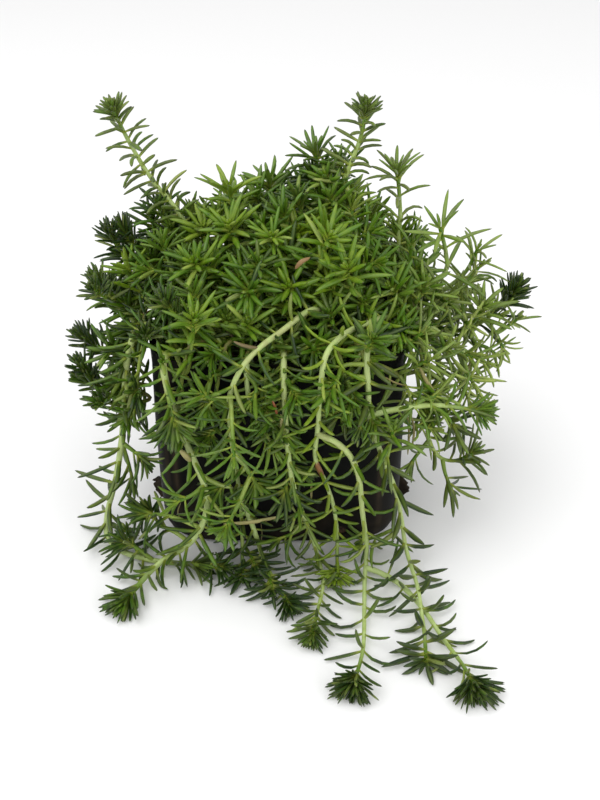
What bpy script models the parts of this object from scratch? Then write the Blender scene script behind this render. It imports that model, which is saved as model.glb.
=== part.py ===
"""A spruce sedum in a soil-filled black nursery bag.

Metres in the scene and millimetres in the values below, +Z up. The origin is the middle of the bag's
flat underside, -Y is the front and +X is the right. Each leafy stem is one piece: a slim stem with its
needle-shaped leaves fused to it, standing in a hole in the soil.
"""

import math

import bpy
import numpy as np

MM = 0.001
SEAM = 0.3  # the gap between pieces that touch

# The bag: half width and half depth at each height, of a rounded outline
BAG_HEIGHTS = (0.0, 3.0, 14.0, 60.0, 108.0)
BAG_HALF_WIDTHS = (56.5, 59.0, 61.0, 61.0, 59.5)
BAG_HALF_DEPTHS = (45.5, 47.5, 48.0, 47.5, 46.0)
BAG_SQUARENESS = 5.0
BAG_SIDES = 24
BAG_WALL = 1.2
RIM = BAG_HEIGHTS[-1]
EAR_HEIGHT = 9.0
EAR_REACH = 7.5
EAR_PLACE = -14.0
EAR_THICK = 1.6
EAR_HALF_HEIGHT = 7.5
EAR_TIP_TOP = 0.5  # the ear's end, as shares of its half height
EAR_TIP_FOOT = 0.4
EAR_SLANT = 1.5
DRAIN_RADIUS = 2.6
DRAIN_HEIGHT = 9.0
DRAIN_SIDES = 6
DRAIN_PLACES = (-27.0, 31.0)

# The soil
SOIL_TOP = 100.0
SOIL_CROWN = 1.5
SOIL_LUMPS = 0.6
SOIL_SHOULDER = 1.0
SOIL_RINGS = (0.96, 0.65, 0.3)  # the rings of its top, as shares of the outline
ROOT_DEPTH = 9.0
HOLE_RADIUS = 2.6
HOLE_SIDES = 4

# A stem and its leaves
STEM_RADIUS = 1.45
STEM_TIP_RADIUS = 1.0
STEM_SIDES = 4
STEM_STRAY = 0.95  # how far a stem's few points may lie from its smooth curve
NECK = 3.0  # the straight stretch over the soil
LEAF_LENGTH = 15.5
BUD_LEAF_LENGTH = 7.5
LEAF_RADIUS = 1.15
LEAF_ROOT_RADIUS = 0.5
LEAF_ARCH = 1.1
LEAF_EVERY = 4  # one leaf modelled of every four that grow
MOST_LEAVES = 200
GOLDEN_ANGLE = math.radians(137.508)
BUD_PITCH = 28.0  # degrees between the stem and a leaf at its tip
OLD_PITCH = 70.0  # and between the stem and an old leaf
BUD_SPACING = 0.35
LEAF_SPACING = 3.7
TRAILING_SPACING = 6.2
BUD_LEAVES = 8  # how many leaves from the tip keep the bud's spacing
GROWING_LEAVES = 26  # over how many more the spacing grows to its full size
OPENING_LEAVES = 6.0  # over about how many leaves the pitch opens
LENGTHENING_LEAVES = 5.0  # and the length grows
BARE_ROOT = 3.0  # the stretch at a stem's root without leaves
STEM_GAP = 1.6  # the least air between stems of different pieces, where they can bend
LEAF_GAP = 0.35

# Stems that can be told apart: those that stand, and those that trail over the rim. A route's first point is
# its place in the soil (x, y), or with a height the point on an earlier route of the same piece where it
# branches off. Its last point is the tip.
STANDING = {
    "tall_back_left": [
        [(-22, 6), (-28, 7, 114), (-36, 9, 131), (-46, 14, 151), (-59, 18, 168), (-68, 20, 185),
         (-74, 20, 201)],
        [(-36, 9, 131), (-39, 14, 141), (-41, 20, 151)],
    ],
    "tall_back_middle": [
        [(8, 4), (11, 6, 115), (15, 8, 136), (20, 12, 147), (27, 14, 161), (33, 16, 175), (38, 18, 190),
         (39, 18, 203)],
    ],
    "short_back_middle": [[(14, 18), (20, 26, 125), (21, 28, 150), (19, 30, 163), (17, 30, 177)]],
    "bright_back_right": [[(21, 4), (25, 10, 118), (30, 17, 140), (33, 21, 160)]],
    "yellow_back_left": [[(-13, -2), (-18, 2, 115), (-20, 6, 131), (-20, 10, 148), (-23, 12, 166)]],
    "pale_back_left": [[(-4, 16), (-4, 20, 118), (-3, 25, 138), (-3, 28, 151), (-5, 30, 163)]],
    "star_back_right": [
        [(26, 10), (44, 12, 114), (55, 12, 129), (57, 14, 147), (56, 16, 162), (54, 16, 173)],
    ],
    "star_right": [
        [(36, 0), (52, 0, 112), (69, 0, 118), (78, -1, 129), (77, -4, 141), (72, -12, 157)],
        [(60, 0, 115), (61, -2, 130), (61, -4, 145)],
        [(56, 0, 113), (62, -8, 121), (67, -15, 130)],
    ],
    "loose_right": [
        [(38, 14), (55, 12, 111), (76, 9, 113), (88, 6, 124), (93, 2, 140)],
        [(78, 9, 114), (86, 18, 110), (92, 27, 104)],
    ],
    "fan_far_right": [
        [(44, -8), (53, -6, 110), (62, -5, 113), (72, -5, 105), (83, -3, 98), (95, 0, 99), (106, 0, 109),
         (113, 0, 120)],
    ],
    "dark_upper_left": [
        [(-30, 5), (-43, 6, 110), (-55, 6, 117), (-66, 8, 123), (-75, 10, 134), (-80, 10, 145)],
    ],
    "dark_left": [
        [(-38, -4), (-49, -4, 110), (-58, -4, 115), (-67, -3, 111), (-77, -1, 116), (-87, 0, 126)],
        [(-52, -4, 112), (-57, 1, 124), (-60, 4, 135)],
    ],
    "comb_left": [
        [(-42, -12), (-51, -13, 110), (-61, -14, 114), (-69, -13, 102), (-77, -12, 93), (-87, -10, 92),
         (-97, -8, 98)],
    ],
    "low_left": [
        [(-36, -20), (-49, -23, 109), (-60, -26, 115), (-68, -28, 103), (-74, -28, 87), (-84, -26, 80),
         (-95, -25, 85)],
    ],
    "back_left_rosette": [
        [(-28, 18), (-40, 20, 109), (-51, 22, 115), (-57, 26, 122), (-60, 28, 132)],
        [(-51, 22, 115), (-57, 21, 131), (-61, 20, 147)],
    ],
    "front_rosette": [[(8, -12), (7, -18, 114), (6, -26, 128), (5, -33, 139)]],
    "front_left_rosette": [[(-12, -14), (-14, -14, 113), (-16, -18, 127), (-16, -24, 138)]],
    "middle_rosette": [
        [(2, 8), (5, 6, 118), (9, 2, 136), (9, -4, 152)],
        [(5, 6, 118), (6, 9, 132), (7, 11, 145)],
    ],
    "corner_rosette": [[(-26, -26), (-33, -34, 110), (-37, -40, 120), (-36, -42, 129)]],
    "right_rosette": [[(30, -12), (34, -20, 112), (37, -26, 121), (38, -30, 130)]],
    "low_star_right": [
        [(46, -18), (53, -26, 111), (62, -33, 114), (68, -36, 102), (70, -38, 82), (71, -38, 62),
         (77, -37, 48), (86, -36, 44), (94, -38, 51)],
    ],
    "right_upper_shoot": [
        [(46, 2), (58, 3, 113), (72, 3, 116), (86, 0, 110), (98, -4, 108), (106, -8, 110)],
        [(74, 3, 116), (77, -6, 117), (79, -14, 120)],
        [(84, 0, 111), (87, -10, 109), (89, -18, 110)],
        [(96, -4, 108), (103, -8, 101), (108, -12, 93)],
    ],
    "right_middle_shoot": [
        [(50, -12), (57, -14, 111), (66, -16, 112), (78, -18, 104), (90, -20, 96), (98, -22, 92)],
        [(84, -19, 99), (87, -26, 91), (88, -32, 82)],
    ],
    "right_low_shoot": [
        [(52, -4), (59, -5, 114), (69, -8, 109), (78, -11, 93), (86, -14, 82), (94, -18, 80)],
        [(70, -8, 107), (73, -20, 99), (76, -30, 89)],
    ],
}
TRAILING = {
    "front_left_of_middle": [
        [(20, -18), (24, -25, 113), (20, -33, 125), (14, -39, 130), (3, -50, 127), (-8, -58, 122),
         (-16, -62, 113), (-21, -62, 98), (-21, -60, 75), (-19, -59, 51), (-18, -59, 27), (-18, -62, 12),
         (-18, -68, 5), (-17, -76, 4)],
        [(-20.5, -60, 68), (-15, -63, 62), (-9, -65, 51)],
        [(-18.7, -59, 42), (-14, -62, 30), (-10, -63, 14), (-7, -68, 6), (-2, -78, 4), (5, -94, 4)],
    ],
    "front_middle": [
        [(40, -20), (48, -25, 112), (49, -30, 121), (36, -42, 124), (27, -52, 124), (21, -60, 120),
         (19, -64, 108), (18, -64, 86), (17, -62, 66), (22, -60, 50), (26, -60, 35), (28, -60, 18),
         (28, -63, 9), (28, -68, 4.5), (27, -76, 4.5)],
        [(17.8, -63.8, 81), (26, -67, 79), (33, -68, 71), (37, -68, 58), (39, -67, 39), (42, -64, 16),
         (42, -67, 6.5), (41, -76, 3.5), (40, -92, 3.5), (38, -119, 3.5), (33, -139, 4.5)],
        [(41.6, -70, 5), (48, -72, 4), (58, -80, 3.5), (67, -95, 3.2), (75, -115, 3.5), (81, -128, 3.5),
         (84, -140, 4.5)],
    ],
    "front_thin_right": [
        [(30, -26), (36, -38, 111), (39, -48, 117), (39, -56, 112), (40, -58, 101), (41, -59, 86),
         (48, -59, 64), (55, -59, 44), (59, -59, 25), (61, -62, 13), (63, -70, 8), (65, -87, 9),
         (66, -102, 5), (66, -114, 3.5), (65, -128, 4.5)],
        [(41, -59, 88), (55, -58, 91), (71, -54, 90), (85, -51, 86), (94, -50, 84)],
    ],
    "front_thin_left": [
        [(-8, -28), (-12, -41, 110), (-13, -52, 113), (-13, -57, 100), (-10, -58, 85), (-4, -59, 73),
         (3, -59, 64), (10, -59, 55)],
    ],
    "front_thin_middle": [
        [(2, -28), (3, -42, 110), (3, -53, 115), (3, -61, 105), (4, -66, 84), (6, -67, 60), (10, -66, 41),
         (15, -62, 20), (18, -63, 9), (20, -69, 4.5), (21, -80, 3.5), (18, -97, 3.5), (15, -114, 4.2)],
    ],
    "left_corner_thin": [
        [(-38, -28), (-46, -40, 110), (-50, -51, 111), (-47, -57, 93), (-41, -61, 73), (-35, -65, 57),
         (-33, -68, 48), (-34, -70, 38), (-39, -67, 24), (-46, -66, 14), (-55, -69, 10), (-63, -76, 6),
         (-72, -92, 4.5)],
    ],
    "left_corner_pale": [
        [(-46, -22), (-55, -26, 113), (-64, -29, 113), (-70, -32, 97), (-73, -36, 73), (-76, -39, 55),
         (-80, -42, 37), (-86, -40, 17), (-88, -42, 6), (-86, -48, 3.5), (-79, -56, 3.2), (-66, -62, 3.2),
         (-50, -65, 3.2), (-38, -66, 3.6)],
    ],
    "back_trailing_left": [
        [(-18, 30), (-22, 42, 111), (-24, 52, 112), (-26, 58, 96), (-28, 60, 74), (-32, 61, 56)],
    ],
    "back_trailing_right": [
        [(26, 30), (30, 42, 112), (34, 53, 113), (38, 58, 97), (36, 60, 70), (40, 61, 45), (47, 62, 27)],
    ],
    "right_side_trailing": [
        [(44, 18), (54, 20, 110), (64, 22, 111), (69, 24, 94), (71, 26, 70), (75, 26, 52)],
        [(64, 22, 111), (76, 28, 106), (87, 32, 97)],
        [(69, 24, 92), (79, 30, 88), (89, 34, 83)],
    ],
    "rim_left": [
        [(-44, 16), (-55, 17, 111), (-66, 19, 109), (-73, 21, 97), (-77, 22, 84)],
        [(-64, 19, 110), (-71, 28, 108), (-77, 34, 100)],
    ],
    "rim_back_left": [
        [(-36, 28), (-46, 37, 111), (-54, 45, 110), (-60, 51, 99), (-63, 54, 86)],
        [(-48, 40, 112), (-47, 51, 109), (-48, 59, 98)],
    ],
    "rim_back_middle": [
        [(-2, 33), (-1, 43, 111), (0, 53, 111), (2, 60, 99), (3, 63, 84)],
        [(0, 50, 112), (9, 57, 110), (14, 62, 101)],
    ],
    "rim_back_right": [
        [(42, 28), (51, 38, 111), (58, 45, 110), (64, 50, 98), (67, 52, 84)],
        [(54, 41, 112), (53, 52, 109), (53, 59, 99)],
    ],
}

# Shoots that fill the rest of the cushion, by a seeded rule
SHOOT_COUNT = 20
SHOOT_SEED = 12
CUSHION_HALF = (84.0, 60.0, 58.0)
CUSHION_MIDDLE = (2.0, 4.0, SOIL_TOP + 2)
CUSHION_ROOTS = (0.50, 0.52)  # how far out a root lies, as a share of its tip's place
ROOT_REACH = (47.0, 33.0)
LOWEST_SHOOT = 0.12
TIP_DISTANCE = 16.0
ROOT_DISTANCE = 6.5
OVER_RIM = 9.0
SHOOT_ARCH = ((0.3, 0.62), (0.66, 0.92))  # shares of the way out and of the rise, twice along a shoot

BLACK = (0.02, 0.021, 0.024, 1)
EARTH = (0.07, 0.045, 0.03, 1)
GREEN = (0.16, 0.27, 0.06, 1)


def principled(name, colour, roughness):
    """A plain material of one colour."""
    made = bpy.data.materials.new(name)
    made.use_nodes = True
    shader = made.node_tree.nodes["Principled BSDF"]
    shader.inputs["Base Color"].default_value = colour
    shader.inputs["Roughness"].default_value = roughness
    shader.inputs["Metallic"].default_value = 0
    return made


def mesh_object(name, points, faces, material=None):
    """A new object from points in millimetres."""
    mesh = bpy.data.meshes.new(name)
    mesh.from_pydata((np.asarray(points) * MM).tolist(), [], faces)
    if material:
        mesh.materials.append(material)
    made = bpy.data.objects.new(name, mesh)
    bpy.context.scene.collection.objects.link(made)
    return made


def loft(rings):
    """The points and faces of a closed body through a stack of rings, whose ends are capped."""
    count, sides, _ = rings.shape
    faces = [
        (
            row * sides + side,
            row * sides + (side + 1) % sides,
            (row + 1) * sides + (side + 1) % sides,
            (row + 1) * sides + side,
        )
        for row in range(count - 1)
        for side in range(sides)
    ]
    faces.append(tuple(range(sides))[::-1])
    faces.append(tuple(range((count - 1) * sides, count * sides)))
    return rings.reshape(-1, 3), faces


def fuse(target, helpers, operation="UNION"):
    """One Boolean with a collection of helpers, applied, and the helpers then removed."""
    group = bpy.data.collections.new(target.name + "_parts")
    bpy.context.scene.collection.children.link(group)
    for helper in helpers:
        bpy.context.scene.collection.objects.unlink(helper)
        group.objects.link(helper)
    boolean = target.modifiers.new("Boolean", "BOOLEAN")
    boolean.operation = operation
    boolean.operand_type = "COLLECTION"
    boolean.collection = group
    boolean.solver = "EXACT"
    bpy.context.view_layer.update()
    evaluated = target.evaluated_get(bpy.context.evaluated_depsgraph_get())
    result = bpy.data.meshes.new_from_object(evaluated)
    target.modifiers.clear()
    target.data = result
    for helper in helpers:
        bpy.data.objects.remove(helper)
    bpy.data.collections.remove(group)


def bag_half(height, grow=0.0):
    """Half width and half depth of the bag at a height, larger by grow."""
    half_width = np.interp(height, BAG_HEIGHTS, BAG_HALF_WIDTHS) + grow
    half_depth = np.interp(height, BAG_HEIGHTS, BAG_HALF_DEPTHS) + grow
    return half_width, half_depth


def bag_ring(height, grow=0.0, shrink=1.0):
    """The bag's outline at a height: a superellipse, which is an ellipse squared off at its corners."""
    half_width, half_depth = bag_half(height, grow)
    turn = np.arange(BAG_SIDES) / BAG_SIDES * math.tau
    across, along = np.cos(turn), np.sin(turn)
    x = np.sign(across) * np.abs(across) ** (2 / BAG_SQUARENESS) * half_width * shrink
    y = np.sign(along) * np.abs(along) ** (2 / BAG_SQUARENESS) * half_depth * shrink
    return np.stack([x, y, np.full(BAG_SIDES, float(height))], axis=1)


def in_bag_outline(points, grow):
    """Which points lie inside the bag's outline, larger by grow, at their height."""
    half_width, half_depth = bag_half(points[:, 2], grow)
    power = BAG_SQUARENESS
    return np.abs(points[:, 0] / half_width) ** power + np.abs(points[:, 1] / half_depth) ** power < 1


def bag(material):
    """The bag: one wall, folded in at the rim, with an ear at each side and drain holes at its foot."""
    outside = [bag_ring(height) for height in BAG_HEIGHTS]
    inside = [bag_ring(height, -BAG_WALL) for height in BAG_HEIGHTS[:0:-1]]
    floor = bag_ring(BAG_HEIGHTS[0], -BAG_WALL)
    floor[:, 2] = BAG_WALL
    inside[-1][:, 2] = max(BAG_HEIGHTS[1], 2 * BAG_WALL)
    made = mesh_object("bag", *loft(np.stack([*outside, *inside, floor])), material)
    fuse(made, [ear(-1), ear(1)])
    fuse(made, [drain(x, side) for x in DRAIN_PLACES for side in (-1, 1)], "DIFFERENCE")
    return made


def ear(side):
    """A folded corner of film that stands out at the bag's side: a flat wedge, its root inside the wall."""
    half_width = bag_half(EAR_HEIGHT)[0]
    root, tip = half_width - BAG_WALL / 2, half_width + EAR_REACH
    tall = EAR_HALF_HEIGHT
    foot, top = -tall * EAR_TIP_FOOT, tall * EAR_TIP_TOP
    profile = [(root, -tall), (tip, foot), (tip - EAR_SLANT, top), (root, tall)]
    front = [(side * x, EAR_PLACE - EAR_THICK / 2, EAR_HEIGHT + z) for x, z in profile]
    back = [(side * x, EAR_PLACE + EAR_THICK / 2, EAR_HEIGHT + z) for x, z in profile]
    rings = np.array([front, back] if side < 0 else [back, front])
    return mesh_object("ear", *loft(rings))


def drain(x, side):
    """A cutter for a drain hole through the front or the back of the bag."""
    turn = np.arange(DRAIN_SIDES) / DRAIN_SIDES * math.tau
    circle = [x + DRAIN_RADIUS * np.cos(turn), DRAIN_HEIGHT + DRAIN_RADIUS * np.sin(turn)]
    half_depth = bag_half(DRAIN_HEIGHT)[1]
    ends = (half_depth - 2.5 * BAG_WALL, half_depth + BAG_WALL)
    rings = [np.stack([circle[0], np.full(DRAIN_SIDES, side * y), circle[1]], axis=1) for y in ends]
    return mesh_object("drain", *loft(np.stack(rings if side < 0 else rings[::-1])))


def soil_height(x, y):
    """The soil's top: a low crown with shallow lumps."""
    half_width, half_depth = BAG_HALF_WIDTHS[-1], BAG_HALF_DEPTHS[-1]
    crown = 1 - (x / half_width) ** 2 - (y / half_depth) ** 2
    return SOIL_TOP + SOIL_CROWN * crown + SOIL_LUMPS * np.sin(x * 0.21 + 1) * np.cos(y * 0.26)


def soil(roots, material):
    """The root ball, which fills the bag to just under its rim, with a plain hole for each stem."""
    inset = -BAG_WALL - SEAM
    lowest = BAG_WALL + SEAM
    base = bag_ring(BAG_HEIGHTS[0], inset)
    base[:, 2] = lowest
    sides = [bag_ring(height, inset) for height in (*BAG_HEIGHTS[1:-1], SOIL_TOP - SOIL_SHOULDER)]
    sides[0][:, 2] = max(BAG_HEIGHTS[1], 2 * BAG_WALL) + SEAM
    top = [bag_ring(SOIL_TOP, inset, shrink) for shrink in SOIL_RINGS]
    for ring in top:
        ring[:, 2] = soil_height(ring[:, 0], ring[:, 1])
    made = mesh_object("soil", *loft(np.stack([base, *sides, *top])), material)
    fuse(made, [hole(x, y) for x, y in roots], "DIFFERENCE")
    return made


def hole(x, y):
    """A cutter for the hole that a stem stands in."""
    turn = np.arange(HOLE_SIDES) / HOLE_SIDES * math.tau
    circle = np.stack([x + HOLE_RADIUS * np.cos(turn), y + HOLE_RADIUS * np.sin(turn)], axis=1)
    levels = (SOIL_TOP - ROOT_DEPTH - SEAM, RIM)
    ends = [np.column_stack([circle, np.full(HOLE_SIDES, level)]) for level in levels]
    return mesh_object("hole", *loft(np.stack(ends)))


def smooth_curve(points, step):
    """Points at even steps along a smooth curve through the route's points (Catmull-Rom)."""
    points = np.asarray(points, float)
    padded = np.vstack([2 * points[0] - points[1], points, 2 * points[-1] - points[-2]])
    pieces = []
    along = np.linspace(0, 1, 12, endpoint=False)[:, None]
    for before, start, end, after in zip(padded, padded[1:], padded[2:], padded[3:]):
        pieces.append(
            start
            + along * (end - before) / 2
            + along**2 * (2 * before - 5 * start + 4 * end - after) / 2
            + along**3 * (3 * start - before - 3 * end + after) / 2
        )
    fine = np.vstack([*pieces, points[-1:]])
    travelled = np.concatenate([[0], np.cumsum(np.linalg.norm(np.diff(fine, axis=0), axis=1))])
    count = max(3, int(round(travelled[-1] / step)) + 1)
    places = np.linspace(0, travelled[-1], count)
    return np.stack([np.interp(places, travelled, fine[:, axis]) for axis in range(3)], axis=1)


def unit(vectors):
    return vectors / np.linalg.norm(vectors, axis=-1, keepdims=True)


def frames(line):
    """Along a line of points: its directions, and two sideways ones that turn no more than they must."""
    ahead = unit(np.gradient(line, axis=0))
    side = np.cross(ahead[0], (0.3, 1, 0.1))
    sides = []
    for direction in ahead:
        side = side - direction * (side @ direction)
        side = side / np.linalg.norm(side)
        sides.append(side)
    sides = np.array(sides)
    return ahead, sides, np.cross(ahead, sides)


def tube(line):
    """A slim tapered stem along a line of points, ended by the pointed leaf at its tip."""
    ahead, side, up = frames(line)
    end, tip_leaf = line[-1], BUD_LEAF_LENGTH * ahead[-1]
    line = np.vstack([line, end + 0.5 * tip_leaf, end + tip_leaf])
    side, up = np.vstack([side, side[-1:], side[-1:]]), np.vstack([up, up[-1:], up[-1:]])
    radius = np.linspace(STEM_RADIUS, STEM_TIP_RADIUS, len(line))
    radius[-1] = 0.0
    turn = (np.arange(STEM_SIDES) / STEM_SIDES * math.tau)[None, :, None]
    around = np.cos(turn) * side[:, None] + np.sin(turn) * up[:, None]
    rings = line[:, None] + radius[:, None, None] * around
    points, faces = loft(rings[:-1])
    last = len(points)
    faces.pop()
    corners = np.arange(last - STEM_SIDES, last)
    faces += [(int(a), int(b), last) for a, b in zip(corners, np.roll(corners, -1))]
    return np.vstack([points, line[-1]]), faces


def leaf_line(start, end, bend):
    """A leaf's root, its belly halfway, arched towards bend, and its point."""
    ahead = unit(end - start)
    up = unit(bend - ahead * (bend @ ahead))
    return np.stack([start, (start + end) / 2 + LEAF_ARCH * up, end]), up, np.cross(ahead, up)


def needle(line, up, side):
    """A three-sided fleshy leaf: narrow at its root, fullest at its belly, pointed."""
    turn = (np.arange(3) / 3 * math.tau)[:, None]
    around = np.cos(turn) * up + np.sin(turn) * side
    points = np.vstack([line[0] + LEAF_ROOT_RADIUS * around, line[1] + LEAF_RADIUS * around, line[2]])
    faces = [(2, 1, 0)]
    for corner in range(3):
        after = (corner + 1) % 3
        faces.append((corner, after, after + 3, corner + 3))
        faces.append((corner + 3, after + 3, 6))
    return points, faces


def segment_distance(start, end, starts, ends):
    """The least distance from one straight stretch to each of many."""
    first, second, between = end - start, ends - starts, start - starts
    first_square = first @ first
    second_square = np.maximum(np.einsum("ij,ij->i", second, second), 1e-9)
    cross = second @ first
    first_part, second_part = between @ first, np.einsum("ij,ij->i", second, between)
    spread = np.maximum(first_square * second_square - cross**2, 1e-9)
    s = np.clip((cross * second_part - first_part * second_square) / spread, 0, 1)
    t = np.clip((cross * s + second_part) / second_square, 0, 1)
    s = np.clip((cross * t - first_part) / first_square, 0, 1)
    return np.linalg.norm(between + s[:, None] * first - t[:, None] * second, axis=1)


def above_soil(route):
    """A route's points, begun just over the soil where it has a root there."""
    if len(route[0]) == 3:
        return route
    return [(*route[0], SOIL_TOP + NECK), *route[1:]]


def thinned(line, error):
    """The points of a fine line that its shape needs: none between two of them strays by more than error."""
    run = line[-1] - line[0]
    along = np.clip((line - line[0]) @ run / (run @ run), 0, 1)
    stray = np.linalg.norm(line - line[0] - along[:, None] * run, axis=1)
    worst = int(np.argmax(stray))
    if stray[worst] < error:
        return line[[0, -1]]
    return np.vstack([thinned(line[: worst + 1], error)[:-1], thinned(line[worst:], error)])


def cushion_shoots(routes):
    """Shoots by rule: tips spread evenly over half an ellipsoid, where no other tip is near."""
    draw = np.random.default_rng(SHOOT_SEED)
    tips = [np.array(route[-1], float) for group in routes.values() for route in group]
    roots = [np.array(group[0][0], float) for group in routes.values()]
    half, made = np.array(CUSHION_HALF), {}
    while len(made) < SHOOT_COUNT:
        height, turn = draw.uniform(LOWEST_SHOOT, 1), draw.uniform(0, math.tau)
        level = math.sqrt(1 - height**2)
        tip = half * (level * math.cos(turn), level * math.sin(turn), height) + CUSHION_MIDDLE
        root = tip[:2] * CUSHION_ROOTS
        root /= max(1, np.linalg.norm(root / ROOT_REACH))
        if min(np.linalg.norm(tip - other) for other in tips) < TIP_DISTANCE:
            continue
        if min(np.linalg.norm(root - other) for other in roots) < ROOT_DISTANCE:
            continue
        rise = max(tip[2], RIM + OVER_RIM) - SOIL_TOP
        middle = [(*(root + out * (tip[:2] - root)), SOIL_TOP + up * rise) for out, up in SHOOT_ARCH]
        made[f"shoot_{len(made) + 1:02d}"] = [[tuple(root), *middle, tuple(tip)]]
        tips.append(tip)
        roots.append(root)
    return made


def bent_clear(lines):
    """Lines of different pieces that pass too near each other bent apart, their ends held."""
    apart = 2 * STEM_RADIUS + STEM_GAP
    owner = np.concatenate([[index] * len(line) for index, (_, line) in enumerate(lines)])
    group = np.concatenate([[name] * len(line) for name, line in lines])
    ends = np.cumsum([len(line) for _, line in lines])
    place = np.vstack([line for _, line in lines])
    free = np.concatenate([np.clip(np.minimum(np.arange(len(line)), 3) / 3, 0, 1) for _, line in lines])
    others = group[:, None] != group[None, :]
    for _ in range(30):
        away = place[:, None] - place[None, :]
        distance = np.linalg.norm(away, axis=2) + 1e-6
        push = np.where(others & (distance < apart), (apart - distance) / 2, 0)
        shift = (away / distance[..., None] * push[..., None]).sum(axis=1) * free[:, None]
        for index in range(len(lines)):
            mine = slice(ends[index] - len(lines[index][1]), ends[index])
            padded = np.pad(shift[mine], ((1, 1), (0, 0)), mode="edge")
            shift[mine] = (padded[:-2] + 2 * padded[1:-1] + padded[2:]) / 4 * free[mine, None]
        place = place + shift
    return [(lines[index][0], place[owner == index]) for index in range(len(lines))]


def even_points(line, step):
    """Points at even steps along the straight runs of a line."""
    travelled = np.concatenate([[0], np.cumsum(np.linalg.norm(np.diff(line, axis=0), axis=1))])
    places = np.arange(0, travelled[-1], step)
    return np.stack([np.interp(places, travelled, line[:, axis]) for axis in range(3)], axis=1)


def leaf_places(line, trailing):
    """Each modelled leaf of a line, tip first: its root, direction ahead, sides, pitch, turn and length."""
    fine = even_points(line, 0.5)
    ahead, side, up = frames(fine)
    spacing = TRAILING_SPACING if trailing else LEAF_SPACING
    number = np.arange(MOST_LEAVES)
    grown = np.clip((number - BUD_LEAVES) / GROWING_LEAVES, 0, 1)
    gaps = BUD_SPACING + (spacing - BUD_SPACING) * grown * grown * (3 - 2 * grown)
    back = np.cumsum(gaps) + 1.0
    total = 0.5 * (len(fine) - 1)
    for index in range(LEAF_EVERY, MOST_LEAVES, LEAF_EVERY):
        if back[index] > total - BARE_ROOT:
            return
        spot = int(round((total - back[index]) / 0.5))
        turn = index * GOLDEN_ANGLE
        opened, lengthened = 1 - math.exp(-index / OPENING_LEAVES), 1 - math.exp(-index / LENGTHENING_LEAVES)
        pitch = math.radians(BUD_PITCH + (OLD_PITCH - BUD_PITCH) * opened)
        length = BUD_LEAF_LENGTH + (LEAF_LENGTH - BUD_LEAF_LENGTH) * lengthened
        yield fine[spot], ahead[spot], side[spot], up[spot], pitch, turn, length


def touches_bag_or_ground(line):
    """Whether a leaf would touch the ground, the bag's wall or the soil."""
    places = (0.3, 0.7, 1.1, 1.6, 2.0)
    points = np.stack([np.interp(places, (0, 1, 2), line[:, axis]) for axis in range(3)], axis=1)
    room = LEAF_RADIUS * np.array([1, 1, 1, 0.7, 0.25]) + 2 * SEAM
    if (points[:, 2] < room).any():
        return True
    air = LEAF_RADIUS + 2 * SEAM
    low = points[:, 2] < RIM + air
    near_wall = in_bag_outline(points, air) & ~in_bag_outline(points, -BAG_WALL - air)
    inside = in_bag_outline(points, -BAG_WALL)
    buried = inside & (points[:, 2] < soil_height(points[:, 0], points[:, 1]) + air)
    return bool((low & near_wall).any() or buried.any())


def grow_leaves(lines, trailing_names):
    """The leaves of every line, each turned, drawn in or shortened until it is clear of the other pieces."""
    names = [name for name, _ in lines]
    longer = [
        np.vstack([line, line[-1] + BUD_LEAF_LENGTH * unit(line[-1] - line[-2])]) for _, line in lines
    ]
    starts = np.vstack([line[:-1] for line in longer])
    ends = np.vstack([line[1:] for line in longer])
    owners = np.concatenate([[names.index(name)] * len(line) for name, line in lines])
    radii = np.full(len(starts), STEM_RADIUS)
    tries = [(turn, pitch, 1.0) for pitch in (0, -14, 12, -26) for turn in (0, 18, -18, 38, -38)]
    tries += [(turn, pitch, 1.0) for pitch in (0, -16) for turn in (60, -60, 85, -85, 110, -110)]
    tries += [(turn, pitch, 0.72) for pitch in (0, -20) for turn in (0, 25, -25, 70, -70)]
    grown = {name: [] for name in names}
    for name, line in lines:
        me = names.index(name)
        for spot, ahead, side, up, pitch, turn, length in leaf_places(line, name in trailing_names):
            for more_turn, more_pitch, part in tries:
                angle = turn + math.radians(more_turn)
                lean = pitch + math.radians(more_pitch)
                out = math.cos(angle) * side + math.sin(angle) * up
                direction = math.cos(lean) * ahead + math.sin(lean) * out
                middle, arched, across = leaf_line(spot, spot + direction * length * part, ahead)
                if touches_bag_or_ground(middle):
                    continue
                other = owners != me
                gaps = [
                    (segment_distance(*half, starts[other], ends[other]) - radii[other]).min()
                    for half in (middle[:2], middle[1:])
                ]
                if min(gaps) < LEAF_RADIUS + LEAF_GAP:
                    continue
                grown[name].append(needle(middle, arched, across))
                starts, ends = np.vstack([starts, middle[:2]]), np.vstack([ends, middle[1:]])
                owners, radii = np.append(owners, [me, me]), np.append(radii, [LEAF_RADIUS] * 2)
                break
    return grown


def joined(lines):
    """The lines with few points: main ones begin in the soil and branches on an earlier line."""
    made = []
    for name, line in lines:
        line = thinned(smooth_curve(line, 2.0), STEM_STRAY)
        earlier = [even_points(other, 0.5) for owner, other in made if owner == name]
        if earlier:
            near = np.vstack(earlier)
            line[0] = near[np.argmin(np.linalg.norm(near - line[0], axis=1))]
        else:
            line = np.vstack([[*line[0, :2], SOIL_TOP - ROOT_DEPTH], line])
        made.append((name, line))
    return made


def leafy_stems(groups, material):
    """Every leafy stem: its lines as tubes, fused with each other and with their leaves."""
    lines = [
        (name, smooth_curve(above_soil(route), 4.0)) for name, group in groups.items() for route in group
    ]
    lines = joined(bent_clear(lines))
    grown = grow_leaves(lines, TRAILING)
    for name in groups:
        mine = [line for other, line in lines if other == name]
        main = mesh_object(name, *tube(mine[0]), material)
        helpers = [mesh_object("branch", *tube(line)) for line in mine[1:]]
        helpers += [mesh_object("leaf", *shape) for shape in grown[name]]
        fuse(main, helpers)


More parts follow.
